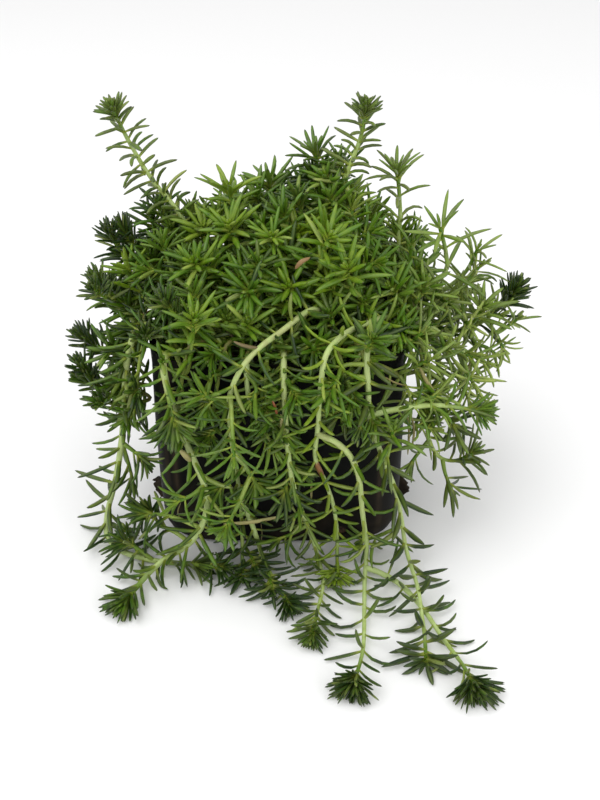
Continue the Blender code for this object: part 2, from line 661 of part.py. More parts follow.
for old in list(bpy.data.objects):
    bpy.data.objects.remove(old)
stems = {**STANDING, **TRAILING}
stems.update(cushion_shoots(stems))
bag(principled("black_film", BLACK, 0.5))
soil([group[0][0] for group in stems.values()], principled("earth", EARTH, 0.95))
leafy_stems(stems, principled("sedum_green", GREEN, 0.55))
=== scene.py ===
"""The finished surfaces of a spruce sedum in a soil-filled black nursery bag, built around its solids.

Lengths are in millimetres and turn into metres where a mesh is made. +Z is up, -Y is the front, and the
origin is the middle of the bag's flat underside.
"""

import math

import bpy
import numpy as np
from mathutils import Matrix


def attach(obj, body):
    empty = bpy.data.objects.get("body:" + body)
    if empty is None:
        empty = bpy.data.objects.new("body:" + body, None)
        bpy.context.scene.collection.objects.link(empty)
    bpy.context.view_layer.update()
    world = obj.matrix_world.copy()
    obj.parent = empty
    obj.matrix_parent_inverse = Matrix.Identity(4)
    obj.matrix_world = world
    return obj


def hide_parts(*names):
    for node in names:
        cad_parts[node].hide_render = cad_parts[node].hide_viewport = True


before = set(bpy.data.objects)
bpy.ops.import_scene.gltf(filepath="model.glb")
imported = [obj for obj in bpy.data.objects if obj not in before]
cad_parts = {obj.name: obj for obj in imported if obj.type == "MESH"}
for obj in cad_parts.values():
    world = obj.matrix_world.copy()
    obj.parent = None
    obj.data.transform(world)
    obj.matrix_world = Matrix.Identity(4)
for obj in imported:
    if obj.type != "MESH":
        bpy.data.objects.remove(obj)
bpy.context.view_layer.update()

# The bag: a tube of thin black polythene that stands square because it is full of soil. Its foot is folded
# under, it keeps the creases that it was packed in, with soil dust along them, and punched holes near the
# foot let water out.
MM = 0.001
BAG_PROFILE = [(56.5, 45.5, 0), (59, 47.5, 3), (61, 48, 14), (61, 47.5, 60), (59.5, 46, 108)]
BAG_SQUARENESS = 5.0
BAG_COLUMNS = 288
BAG_ROW = 1.8
UNDERSIDE_ROWS = 22
UNDERSIDE_RISE = 0.35
FILM = 0.5
RIM = BAG_PROFILE[-1][2]
RIPPLED_RIM = 12.0
UNROLLED_WALL = 400.0
DRAIN_RADIUS = 2.6
DRAIN_HEIGHT = 9.0
DRAIN_PLACES = (-27.0, 31.0)
DRAIN_WALL_DEPTH = 40.0
PACKING_CREASES = 13
SLANTED_CREASES = 70
DEEPEST_CREASE = 1.3
DUSTY_FOLDS = (-54.5, -50.0, 49.0)
DUSTY_FOOT = 45.0
FILM_BLACK = (10, 11, 10)
FILM_DUST = (74, 62, 48)


def linear(red, green, blue):
    """A colour given in 0 to 255 as a screen shows it, as the shader's own linear values."""
    return tuple(((part / 255 + 0.055) / 1.055) ** 2.4 for part in (red, green, blue)) + (1.0,)


def feed(tree, socket, value):
    """Links a socket to another node's output, or sets it to a plain value or to a colour of 0 to 255."""
    if isinstance(value, bpy.types.NodeSocket):
        tree.links.new(value, socket)
    else:
        socket.default_value = linear(*value) if isinstance(value, tuple) else value


def blended(tree, share, first, second):
    """A mix of two colours: share 0 gives the first and 1 the second."""
    node = tree.nodes.new("ShaderNodeMix")
    node.data_type = "RGBA"
    feed(tree, node.inputs[0], share)
    feed(tree, node.inputs[6], first)
    feed(tree, node.inputs[7], second)
    return node.outputs[2]


def ranged(tree, value, start, end, low=0.0, high=1.0):
    """A value carried smoothly from low to high while it goes from start to end."""
    node = tree.nodes.new("ShaderNodeMapRange")
    node.interpolation_type = "SMOOTHSTEP"
    sockets = ("Value", "From Min", "From Max", "To Min", "To Max")
    for name, number in zip(sockets, (value, start, end, low, high)):
        feed(tree, node.inputs[name], number)
    return node.outputs[0]


def worked(tree, operation, first, second):
    """One sum, product or other operation on two values."""
    node = tree.nodes.new("ShaderNodeMath")
    node.operation = operation
    feed(tree, node.inputs[0], first)
    feed(tree, node.inputs[1], second)
    return node.outputs[0]


def marked(tree, name):
    """The piece's own attribute of that name."""
    node = tree.nodes.new("ShaderNodeAttribute")
    node.attribute_name = name
    return node.outputs["Fac"]


def grained(tree, scale, detail=3.0, stretch=(1, 1, 1)):
    """Cloudy noise in the object's own coordinates, scale cells to the metre."""
    place = tree.nodes.new("ShaderNodeTexCoord")
    turn = tree.nodes.new("ShaderNodeMapping")
    turn.inputs["Scale"].default_value = stretch
    noise = tree.nodes.new("ShaderNodeTexNoise")
    noise.inputs["Scale"].default_value = scale
    noise.inputs["Detail"].default_value = detail
    tree.links.new(place.outputs["Object"], turn.inputs["Vector"])
    tree.links.new(turn.outputs["Vector"], noise.inputs["Vector"])
    return noise.outputs["Fac"]


def raised(tree, height, strength, distance):
    """Low relief from a height, as a shading normal."""
    node = tree.nodes.new("ShaderNodeBump")
    node.inputs["Strength"].default_value = strength
    node.inputs["Distance"].default_value = distance
    feed(tree, node.inputs["Height"], height)
    return node.outputs["Normal"]


def finish(name):
    """A new material, its node tree and its one shader."""
    made = bpy.data.materials.new(name)
    made.use_nodes = True
    return made, made.node_tree, made.node_tree.nodes["Principled BSDF"]


def surface(name, points, faces, materials, marks=None, paints=None):
    """A smooth mesh object at the origin from points in millimetres, with its attributes and the number of
    each face's material."""
    mesh = bpy.data.meshes.new(name)
    mesh.from_pydata((np.asarray(points) * MM).tolist(), [], faces)
    for material in materials:
        mesh.materials.append(material)
    for mark, values in (marks or {}).items():
        attribute = mesh.attributes.new(mark, "FLOAT", "POINT")
        attribute.data.foreach_set("value", np.asarray(values, np.float32))
    if paints is not None:
        mesh.polygons.foreach_set("material_index", np.asarray(paints, np.int32))
    mesh.shade_smooth()
    made = bpy.data.objects.new(name, mesh)
    bpy.context.scene.collection.objects.link(made)
    return made


def grid_faces(rows, columns, closed=True):
    """The four-sided faces of a grid of points, row after row, each row closed into a ring if so asked."""
    across = np.arange(columns if closed else columns - 1)
    row, column = np.meshgrid(np.arange(rows - 1), across, indexing="ij")
    after = (column + 1) % columns
    here, beyond = row * columns, (row + 1) * columns
    return np.stack([here + column, here + after, beyond + after, beyond + column], axis=-1).reshape(-1, 4)


def fan(point, ring, count, turned=False):
    """Triangles from one point to each side of a ring of points, the other way round if turned."""
    sides = [(ring + side, ring + (side + 1) % count) for side in range(count)]
    return [(point, after, before) if turned else (point, before, after) for before, after in sides]


def turns(count):
    """Angles at even steps round a circle."""
    return np.arange(count) / count * math.tau


def travelled(line):
    """How far along a line each of its points lies."""
    return np.concatenate([[0], np.cumsum(np.linalg.norm(np.diff(line, axis=0), axis=1))])


def points_at(line, places):
    """The points of a line that lie the given distances along it."""
    return np.stack([np.interp(places, travelled(line), line[:, axis]) for axis in range(3)], axis=1)


def smooth_curve(points, step):
    """Points at even steps along a smooth curve through the given ones (Catmull-Rom)."""
    points = np.asarray(points, float)
    padded = np.vstack([2 * points[0] - points[1], points, 2 * points[-1] - points[-2]])
    pieces = []
    along = np.linspace(0, 1, 12, endpoint=False)[:, None]
    for before, start, end, after in zip(padded, padded[1:], padded[2:], padded[3:]):
        pieces.append(
            start
            + along * (end - before) / 2
            + along**2 * (2 * before - 5 * start + 4 * end - after) / 2
            + along**3 * (3 * start - before - 3 * end + after) / 2
        )
    fine = np.vstack([*pieces, points[-1:]])
    length = travelled(fine)[-1]
    return points_at(fine, np.linspace(0, length, max(3, int(round(length / step)) + 1)))


def reach(turn, half_width, half_depth):
    """How far the bag's outline lies from its middle in each direction: a superellipse in polar form."""
    power = BAG_SQUARENESS
    across = np.abs(np.cos(turn) / half_width) ** power
    along = np.abs(np.sin(turn) / half_depth) ** power
    return (across + along) ** (-1 / power)


def creases(turn, height, draw):
    """The film's relief on its unrolled wall: each crease is a ridge or a valley, sharp across and fading
    along. The packing creases stand upright. The slanted ones are shorter, half of them near the foot."""
    around = turn / math.tau * UNROLLED_WALL
    relief = np.zeros_like(around)
    lines = [
        (draw.uniform(0, UNROLLED_WALL), draw.uniform(30, 80), math.pi / 2 + draw.normal(0, 0.05),
         draw.uniform(40, 70), draw.uniform(0.7, 1.5), draw.uniform(-0.35, 0.5))
        for _ in range(PACKING_CREASES)
    ]
    lines += [
        (draw.uniform(0, UNROLLED_WALL), draw.choice([draw.uniform(0, 26), draw.uniform(26, RIM)]),
         draw.uniform(0, math.pi), draw.uniform(8, 26), draw.uniform(0.9, 2.6), draw.uniform(-0.45, 0.45))
        for _ in range(SLANTED_CREASES)
    ]
    for middle, level, slant, length, width, tall in lines:
        aside = (around - middle + UNROLLED_WALL / 2) % UNROLLED_WALL - UNROLLED_WALL / 2
        rise = height - level
        along = aside * math.cos(slant) + rise * math.sin(slant)
        bow = 0.02 * along**2 * np.sign(tall) / width**2
        across = -aside * math.sin(slant) + rise * math.cos(slant) + bow
        relief += tall * np.exp(-np.abs(across) / width) * np.exp(-((along / length) ** 2))
    return relief


def bag_film():
    """Black polythene with a dull sheen, grey-brown dust on its creases and towards its foot."""
    made, tree, shader = finish("black_film")
    cloud = grained(tree, 38)
    fine = grained(tree, 900, 2)
    dust = worked(tree, "MULTIPLY", marked(tree, "dust"), ranged(tree, cloud, 0.38, 0.68))
    colour = blended(tree, dust, FILM_BLACK, FILM_DUST)
    feed(tree, shader.inputs["Base Color"], colour)
    feed(tree, shader.inputs["Roughness"], ranged(tree, cloud, 0.3, 0.7, 0.55, 0.75))
    feed(tree, shader.inputs["Normal"], raised(tree, fine, 0.15, 0.0002))
    shader.inputs["Specular IOR Level"].default_value = 0.13
    return made


def thickened(made, name, thickness, offset):
    """Gives a sheet its wall: inwards from it at an offset of -1, and to both sides of it at 0."""
    wall = made.modifiers.new(name, "SOLIDIFY")
    wall.thickness = thickness * MM
    wall.offset = offset


def punched(points, faces):
    """Round holes in the film near its foot: the faces inside a circle are dropped, and the points round
    its edge are drawn onto it. Returns all the points and the faces that are left."""
    places = np.array(DRAIN_PLACES)
    away = np.hypot(points[:, 0, None] - places, points[:, 2, None] - DRAIN_HEIGHT)
    hole = away.min(axis=1)
    facing = np.abs(points[:, 1]) > DRAIN_WALL_DEPTH
    inside = facing & (hole < DRAIN_RADIUS)
    gone = inside[faces].sum(axis=1) >= 3
    beside_gone, beside_kept = np.zeros((2, len(points)), bool)
    beside_gone[faces[gone].ravel()] = True
    beside_kept[faces[~gone].ravel()] = True
    close = facing & (hole > 0.45 * DRAIN_RADIUS) & (hole < 1.45 * DRAIN_RADIUS)
    middles = np.column_stack([places[away.argmin(axis=1)], points[:, 1], np.full(len(points), DRAIN_HEIGHT)])
    snapped = middles + (points - middles) * (DRAIN_RADIUS / np.maximum(hole, 0.1))[:, None]
    return np.where((close & beside_gone & beside_kept)[:, None], snapped, points), faces[~gone]


def film_dust(points, relief):
    """Dust on the film: along its creases, up from its foot, and in a few upright folds of its front."""
    foot = np.clip(1 - points[:, 2] / DUSTY_FOOT, 0, 1) ** 1.5
    folds = np.exp(-(((points[:, 0, None] - np.array(DUSTY_FOLDS)) / 1.3) ** 2)).max(axis=1)
    return np.clip(0.55 * np.abs(relief) + 0.5 * foot + 0.8 * folds * (points[:, 1] < 0), 0, 1) * 0.75


def bag():
    """The film as one sheet: from the middle of the underside out to the foot, then up the wall to the rim.
    Creases and, near the rim, ripples move it in and out, and the rim's edge goes up and down."""
    draw = np.random.default_rng(5)
    profile = smooth_curve(BAG_PROFILE, BAG_ROW)
    turn = turns(BAG_COLUMNS)
    shares = np.linspace(0.04, 0.98, UNDERSIDE_ROWS)[:, None]
    rows = np.vstack([np.hstack([profile[0, :2] * shares, UNDERSIDE_RISE * (1 - shares)]), profile])
    out = reach(turn[None, :], rows[:, :1], rows[:, 1:2])
    height = np.repeat(rows[:, 2:], BAG_COLUMNS, axis=1)
    around = np.broadcast_to(turn, height.shape)
    top = np.clip((height - RIM + RIPPLED_RIM) / RIPPLED_RIM, 0, 1)
    relief = creases(around, height, draw)
    relief = relief + top * (0.7 * np.sin(around * 9) + 0.5 * np.sin(around * 23 + 2))
    out = out + np.clip((height - 1) / 8, 0, 1) * np.clip(relief, -DEEPEST_CREASE, DEEPEST_CREASE)
    height = height - top**2 * (0.9 + 0.9 * np.sin(around * 5 + 1) * np.cos(around * 13))
    points = np.stack([out * np.cos(around), out * np.sin(around), height], axis=-1).reshape(-1, 3)
    dust = np.append(film_dust(points, relief.ravel()), 0.4)
    points, faces = punched(points, grid_faces(len(rows), BAG_COLUMNS))
    faces = faces.tolist() + fan(len(points), 0, BAG_COLUMNS, turned=True)
    points = np.vstack([points, [0, 0, UNDERSIDE_RISE]])
    made = surface("bag_film", points, faces, [bag_film()], {"dust": dust})
    thickened(made, "Film thickness", FILM, -1)
    return made


bag_piece = bag()
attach(bag_piece, "root")
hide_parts("bag")

# The bag's ears: the folded corners of film that stand out at each side of its foot, torn along their edge.
# Each is a double layer of the same film, welded to the wall at its root.
EAR_PLACE = -14.0
EAR_HEIGHT = 9.0
EAR_REACH = 7.5
EAR_HALF_HEIGHT = 7.5
EAR_ROOT = -0.12
EAR_GRID = (12, 15)


def ear(side):
    """A small curled sheet on a grid: out from the wall, and from its lower edge to its upper one."""
    draw = np.random.default_rng(40 + side)
    steps = np.linspace(EAR_ROOT, 1, EAR_GRID[0]), np.linspace(-1, 1, EAR_GRID[1])
    out, level = np.meshgrid(*steps, indexing="ij")
    torn = np.interp(level, np.linspace(-1, 1, 9), draw.uniform(0.62, 1.0, 9))
    ends = np.interp(out, np.linspace(EAR_ROOT, 1, 6), [1, 1, 0.86, 0.9, 0.62, 0.5])
    x = side * (BAG_PROFILE[2][0] - 0.6 + EAR_REACH * out * np.where(out > 0, torn, 1))
    y = EAR_PLACE + 1.1 * np.sin(2.6 * out + side) * (1 + 0.4 * level) + 0.5 * np.cos(4 * level + 3 * out)
    z = EAR_HEIGHT + EAR_HALF_HEIGHT * level * ends + 0.7 * out * np.sin(5 * level)
    points = np.stack([x, y, z], axis=-1).reshape(-1, 3)
    faces = grid_faces(*EAR_GRID, closed=False).tolist()
    marks = {"dust": np.full(len(points), 0.5)}
    made = surface(f"bag_ear_{'left' if side < 0 else 'right'}", points, faces, [film], marks)
    thickened(made, "Two layers", 2 * FILM, 0)
    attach(made, "root")


film = bag_piece.data.materials[0]
ear(-1)
ear(1)

# The soil: dark peat that fills the bag to just under its rim and takes its shape, so that it shows in the
# drain holes too. Its top is a low crown of crumbs.
SOIL_TOP = 100.0
SOIL_CROWN = 1.5
SOIL_FLOOR = 1.2
SOIL_COLUMNS = 150
SOIL_RINGS = 56
SOIL_ROW = 4.0
SOIL_GAP = 0.8
SOIL_WAVES = 26
CRUMBS = 260
CRUMB_SPREAD = 0.93
CRUMB_RINGS = 4
CRUMB_SIDES = 6
PERLITE_SHARE = 0.12
SOIL_DARK = (38, 27, 20)
SOIL_LIGHT = (88, 66, 48)
PERLITE = (196, 190, 176)


def soil_height(x, y):
    """The soil's top: a low crown with shallow lumps."""
    crown = 1 - (x / BAG_PROFILE[-1][0]) ** 2 - (y / BAG_PROFILE[-1][1]) ** 2
    return SOIL_TOP + SOIL_CROWN * crown + 0.6 * np.sin(x * 0.21 + 1) * np.cos(y * 0.26)


def crumbly(x, y, draw):
    """A rough field: a sum of waves with drawn directions and phases, each finer and lower than the last."""
    rough = np.zeros_like(x)
    for wave in range(SOIL_WAVES):
        heading, phase = draw.uniform(0, math.pi), draw.uniform(0, math.tau)
        fineness = 0.35 * 1.1**wave
        across = (x * math.cos(heading) + y * math.sin(heading)) * fineness
        rough += np.sin(across + phase) / (1 + 0.12 * wave)
    return rough / 6


def soil_earth():
    """Damp peat: dark brown, with paler crumbs and flecks by noise."""
    made, tree, shader = finish("earth")
    coarse = grained(tree, 350, 4)
    colour = blended(tree, ranged(tree, coarse, 0.4, 0.7), SOIL_DARK, SOIL_LIGHT)
    colour = blended(tree, marked(tree, "perlite"), colour, PERLITE)
    feed(tree, shader.inputs["Base Color"], colour)
    shader.inputs["Roughness"].default_value = 0.95
    feed(tree, shader.inputs["Normal"], raised(tree, grained(tree, 1400, 3), 0.5, 0.0006))
    return made


def soil():
    """A closed body of rings: the crumbly top from its middle out, down beside the film, in at the foot."""
    draw = np.random.default_rng(8)
    turn = turns(SOIL_COLUMNS)
    profile = smooth_curve(BAG_PROFILE, SOIL_ROW)
    profile = profile[(profile[:, 2] < SOIL_TOP - 2) & (profile[:, 2] > 1)][::-1]
    shares = np.linspace(0.03, 0.99, SOIL_RINGS)[:, None]
    top_half = np.array(BAG_PROFILE[-1][:2]) - SOIL_GAP
    foot_half = np.array(BAG_PROFILE[0][:2]) - 2 * SOIL_GAP
    rows = np.vstack([
        np.hstack([shares * top_half, np.full_like(shares, SOIL_TOP)]),
        profile - (SOIL_GAP, SOIL_GAP, 0),
        np.hstack([shares * foot_half, np.full_like(shares, SOIL_FLOOR)])[::-4],
    ])
    out = reach(turn[None, :], rows[:, :1], rows[:, 1:2])
    x, y = out * np.cos(turn), out * np.sin(turn)
    top = (rows[:, 2] == SOIL_TOP)[:, None]
    z = np.where(top, soil_height(x, y) + crumbly(x, y, draw), rows[:, 2:])
    points = np.stack([x, y, z], axis=-1).reshape(-1, 3)
    faces = grid_faces(len(rows), SOIL_COLUMNS)[:, ::-1]
    first, last, ring = len(points), len(points) + 1, (len(rows) - 1) * SOIL_COLUMNS
    ends = fan(first, 0, SOIL_COLUMNS) + fan(last, ring, SOIL_COLUMNS, turned=True)
    points = np.vstack([points, [0, 0, points[0, 2]], [0, 0, SOIL_FLOOR]])
    marks = {"perlite": np.zeros(len(points))}
    made = surface("soil_peat", points, faces.tolist() + ends, [earth], marks)
    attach(made, "root")
    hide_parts("soil")


def crumbs():
    """Loose crumbs and a few grains of perlite: small balls of rings and sides, pressed out of shape."""
    draw = np.random.default_rng(9)
    level, turn = np.meshgrid(np.linspace(-1, 1, CRUMB_RINGS + 2)[1:-1], turns(CRUMB_SIDES), indexing="ij")
    wide = np.sqrt(1 - level**2)
    ball = np.stack([wide * np.cos(turn), wide * np.sin(turn), level], axis=-1)
    ball = np.vstack([ball.reshape(-1, 3), [0, 0, -1], [0, 0, 1]])
    spread = draw.uniform(0, 1, (CRUMBS, 1)) ** 0.5 * CRUMB_SPREAD
    heading = draw.uniform(0, math.tau, (CRUMBS, 1))
    far = reach(heading, *BAG_PROFILE[-1][:2]) * spread
    x, y = far * np.cos(heading), far * np.sin(heading)
    size = draw.uniform(0.6, 1.7, (CRUMBS, 1, 1)) * draw.uniform(0.7, 1.3, (CRUMBS, 1, 3))
    lumps = ball * size * draw.uniform(0.82, 1.15, (CRUMBS, len(ball), 1))
    places = np.concatenate([x, y, soil_height(x, y) + 0.4], axis=1)[:, None]
    bottom, upper = CRUMB_RINGS * CRUMB_SIDES, (CRUMB_RINGS - 1) * CRUMB_SIDES
    caps = fan(bottom, 0, CRUMB_SIDES, turned=True) + fan(bottom + 1, upper, CRUMB_SIDES)
    starts = (np.arange(CRUMBS) * len(ball))[:, None, None]
    faces = (starts + grid_faces(CRUMB_RINGS, CRUMB_SIDES)).reshape(-1, 4).tolist()
    faces += (starts + np.array(caps)).reshape(-1, 3).tolist()
    marks = {"perlite": np.repeat(draw.uniform(0, 1, CRUMBS) < PERLITE_SHARE, len(ball))}
    made = surface("soil_crumbs", (places + lumps).reshape(-1, 3), faces, [earth], marks)
    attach(made, "root")


earth = soil_earth()
soil()
crumbs()

# The stems: slim, round and fleshy, whitish green where they hang and yellow-green in the cushion, rooted
# in the soil. These stand up from it. A route's first point is its place in the soil (x, y) or, with a
# height, the point where it branches off an earlier route of its piece, and its last point is the tip.
ROOT_DEPTH = 9.0
NECK = 3.0
STEM_RADIUS = 1.45
STEM_RADII = (1.45, 0.85)
STOUT_RADII = (1.75, 1.3)
STEM_GAP = 1.6
STEM_SIDES = 8
BENDING_ROUNDS = 30
HELD_POINTS = 3
ROUTE_STEP = 4.0
LINE_STEP = 1.5
STANDING = {
    "tall_back_left": [
        [(-22, 6), (-28, 7, 114), (-36, 9, 131), (-46, 14, 151), (-59, 18, 168), (-68, 20, 185),
         (-74, 20, 201)],
        [(-36, 9, 131), (-39, 14, 141), (-41, 20, 151)],
    ],
    "tall_back_middle": [
        [(8, 4), (11, 6, 115), (15, 8, 136), (20, 12, 147), (27, 14, 161), (33, 16, 175), (38, 18, 190),
         (39, 18, 203)],
    ],
    "short_back_middle": [[(14, 18), (20, 26, 125), (21, 28, 150), (19, 30, 163), (17, 30, 177)]],
    "bright_back_right": [[(21, 4), (25, 10, 118), (30, 17, 140), (33, 21, 160)]],
    "yellow_back_left": [[(-13, -2), (-18, 2, 115), (-20, 6, 131), (-20, 10, 148), (-23, 12, 166)]],
    "pale_back_left": [[(-4, 16), (-4, 20, 118), (-3, 25, 138), (-3, 28, 151), (-5, 30, 163)]],
    "star_back_right": [
        [(26, 10), (44, 12, 114), (55, 12, 129), (57, 14, 147), (56, 16, 162), (54, 16, 173)],
    ],
    "star_right": [
        [(36, 0), (52, 0, 112), (69, 0, 118), (78, -1, 129), (77, -4, 141), (72, -12, 157)],
        [(60, 0, 115), (61, -2, 130), (61, -4, 145)],
        [(56, 0, 113), (62, -8, 121), (67, -15, 130)],
    ],
    "loose_right": [
        [(38, 14), (55, 12, 111), (76, 9, 113), (88, 6, 124), (93, 2, 140)],
        [(78, 9, 114), (86, 18, 110), (92, 27, 104)],
    ],
    "fan_far_right": [
        [(44, -8), (53, -6, 110), (62, -5, 113), (72, -5, 105), (83, -3, 98), (95, 0, 99), (106, 0, 109),
         (113, 0, 120)],
    ],
    "dark_upper_left": [
        [(-30, 5), (-43, 6, 110), (-55, 6, 117), (-66, 8, 123), (-75, 10, 134), (-80, 10, 145)],
    ],
    "dark_left": [
        [(-38, -4), (-49, -4, 110), (-58, -4, 115), (-67, -3, 111), (-77, -1, 116), (-87, 0, 126)],
        [(-52, -4, 112), (-57, 1, 124), (-60, 4, 135)],
    ],
    "comb_left": [
        [(-42, -12), (-51, -13, 110), (-61, -14, 114), (-69, -13, 102), (-77, -12, 93), (-87, -10, 92),
         (-97, -8, 98)],
    ],
    "low_left": [
        [(-36, -20), (-49, -23, 109), (-60, -26, 115), (-68, -28, 103), (-74, -28, 87), (-84, -26, 80),
         (-95, -25, 85)],
    ],
    "back_left_rosette": [
        [(-28, 18), (-40, 20, 109), (-51, 22, 115), (-57, 26, 122), (-60, 28, 132)],
        [(-51, 22, 115), (-57, 21, 131), (-61, 20, 147)],
    ],
    "front_rosette": [[(8, -12), (7, -18, 114), (6, -26, 128), (5, -33, 139)]],
    "front_left_rosette": [[(-12, -14), (-14, -14, 113), (-16, -18, 127), (-16, -24, 138)]],
    "middle_rosette": [
        [(2, 8), (5, 6, 118), (9, 2, 136), (9, -4, 152)],
        [(5, 6, 118), (6, 9, 132), (7, 11, 145)],
    ],
    "corner_rosette": [[(-26, -26), (-33, -34, 110), (-37, -40, 120), (-36, -42, 129)]],
    "right_rosette": [[(30, -12), (34, -20, 112), (37, -26, 121), (38, -30, 130)]],
    "low_star_right": [
        [(46, -18), (53, -26, 111), (62, -33, 114), (68, -36, 102), (70, -38, 82), (71, -38, 62),
         (77, -37, 48), (86, -36, 44), (94, -38, 51)],
    ],
    "right_upper_shoot": [
        [(46, 2), (58, 3, 113), (72, 3, 116), (86, 0, 110), (98, -4, 108), (106, -8, 110)],
        [(74, 3, 116), (77, -6, 117), (79, -14, 120)],
        [(84, 0, 111), (87, -10, 109), (89, -18, 110)],
        [(96, -4, 108), (103, -8, 101), (108, -12, 93)],
    ],
    "right_middle_shoot": [
        [(50, -12), (57, -14, 111), (66, -16, 112), (78, -18, 104), (90, -20, 96), (98, -22, 92)],
        [(84, -19, 99), (87, -26, 91), (88, -32, 82)],
    ],
    "right_low_shoot": [
        [(52, -4), (59, -5, 114), (69, -8, 109), (78, -11, 93), (86, -14, 82), (94, -18, 80)],
        [(70, -8, 107), (73, -20, 99), (76, -30, 89)],
    ],
}


def unit(vectors):
    """Vectors divided by their own lengths."""
    return vectors / np.linalg.norm(vectors, axis=-1, keepdims=True)


def frames(line):
    """Along a line of points: its directions, and two sideways directions that turn no more than they
    must."""
    ahead = unit(np.gradient(line, axis=0))
    side = np.cross(ahead[0], (0.3, 1, 0.1))
    sides = []
    for direction in ahead:
        side = side - direction * (side @ direction)
        side = side / np.linalg.norm(side)
        sides.append(side)
    sides = np.array(sides)
    return ahead, sides, np.cross(ahead, sides)


def above_soil(route):
    """A route's points, begun just over the soil where it has a root there."""
    if len(route[0]) == 3:
        return route
    return [(*route[0], SOIL_TOP + NECK), *route[1:]]


def bent_clear(lines):
    """Lines of different pieces that pass too near each other bent apart in small rounds. In each, every
    point is pushed off the points near it, and the pushes are evened out along its line. A line's start is
    held."""
    apart = 2 * STEM_RADIUS + STEM_GAP
    owner = np.concatenate([[index] * len(line) for index, (_, line) in enumerate(lines)])
    group = np.concatenate([[name] * len(line) for name, line in lines])
    ends = np.cumsum([len(line) for _, line in lines])
    place = np.vstack([line for _, line in lines])
    free = np.concatenate([np.minimum(np.arange(len(line)), HELD_POINTS) / HELD_POINTS for _, line in lines])
    others = group[:, None] != group[None, :]
    for _ in range(BENDING_ROUNDS):
        away = place[:, None] - place[None, :]
        distance = np.linalg.norm(away, axis=2) + 1e-6
        push = np.where(others & (distance < apart), (apart - distance) / 2, 0)
        shift = (away / distance[..., None] * push[..., None]).sum(axis=1) * free[:, None]
        for index in range(len(lines)):
            mine = slice(ends[index] - len(lines[index][1]), ends[index])
            padded = np.pad(shift[mine], ((1, 1), (0, 0)), mode="edge")
            shift[mine] = (padded[:-2] + 2 * padded[1:-1] + padded[2:]) / 4 * free[mine, None]
        place = place + shift
    return [(lines[index][0], place[owner == index]) for index in range(len(lines))]


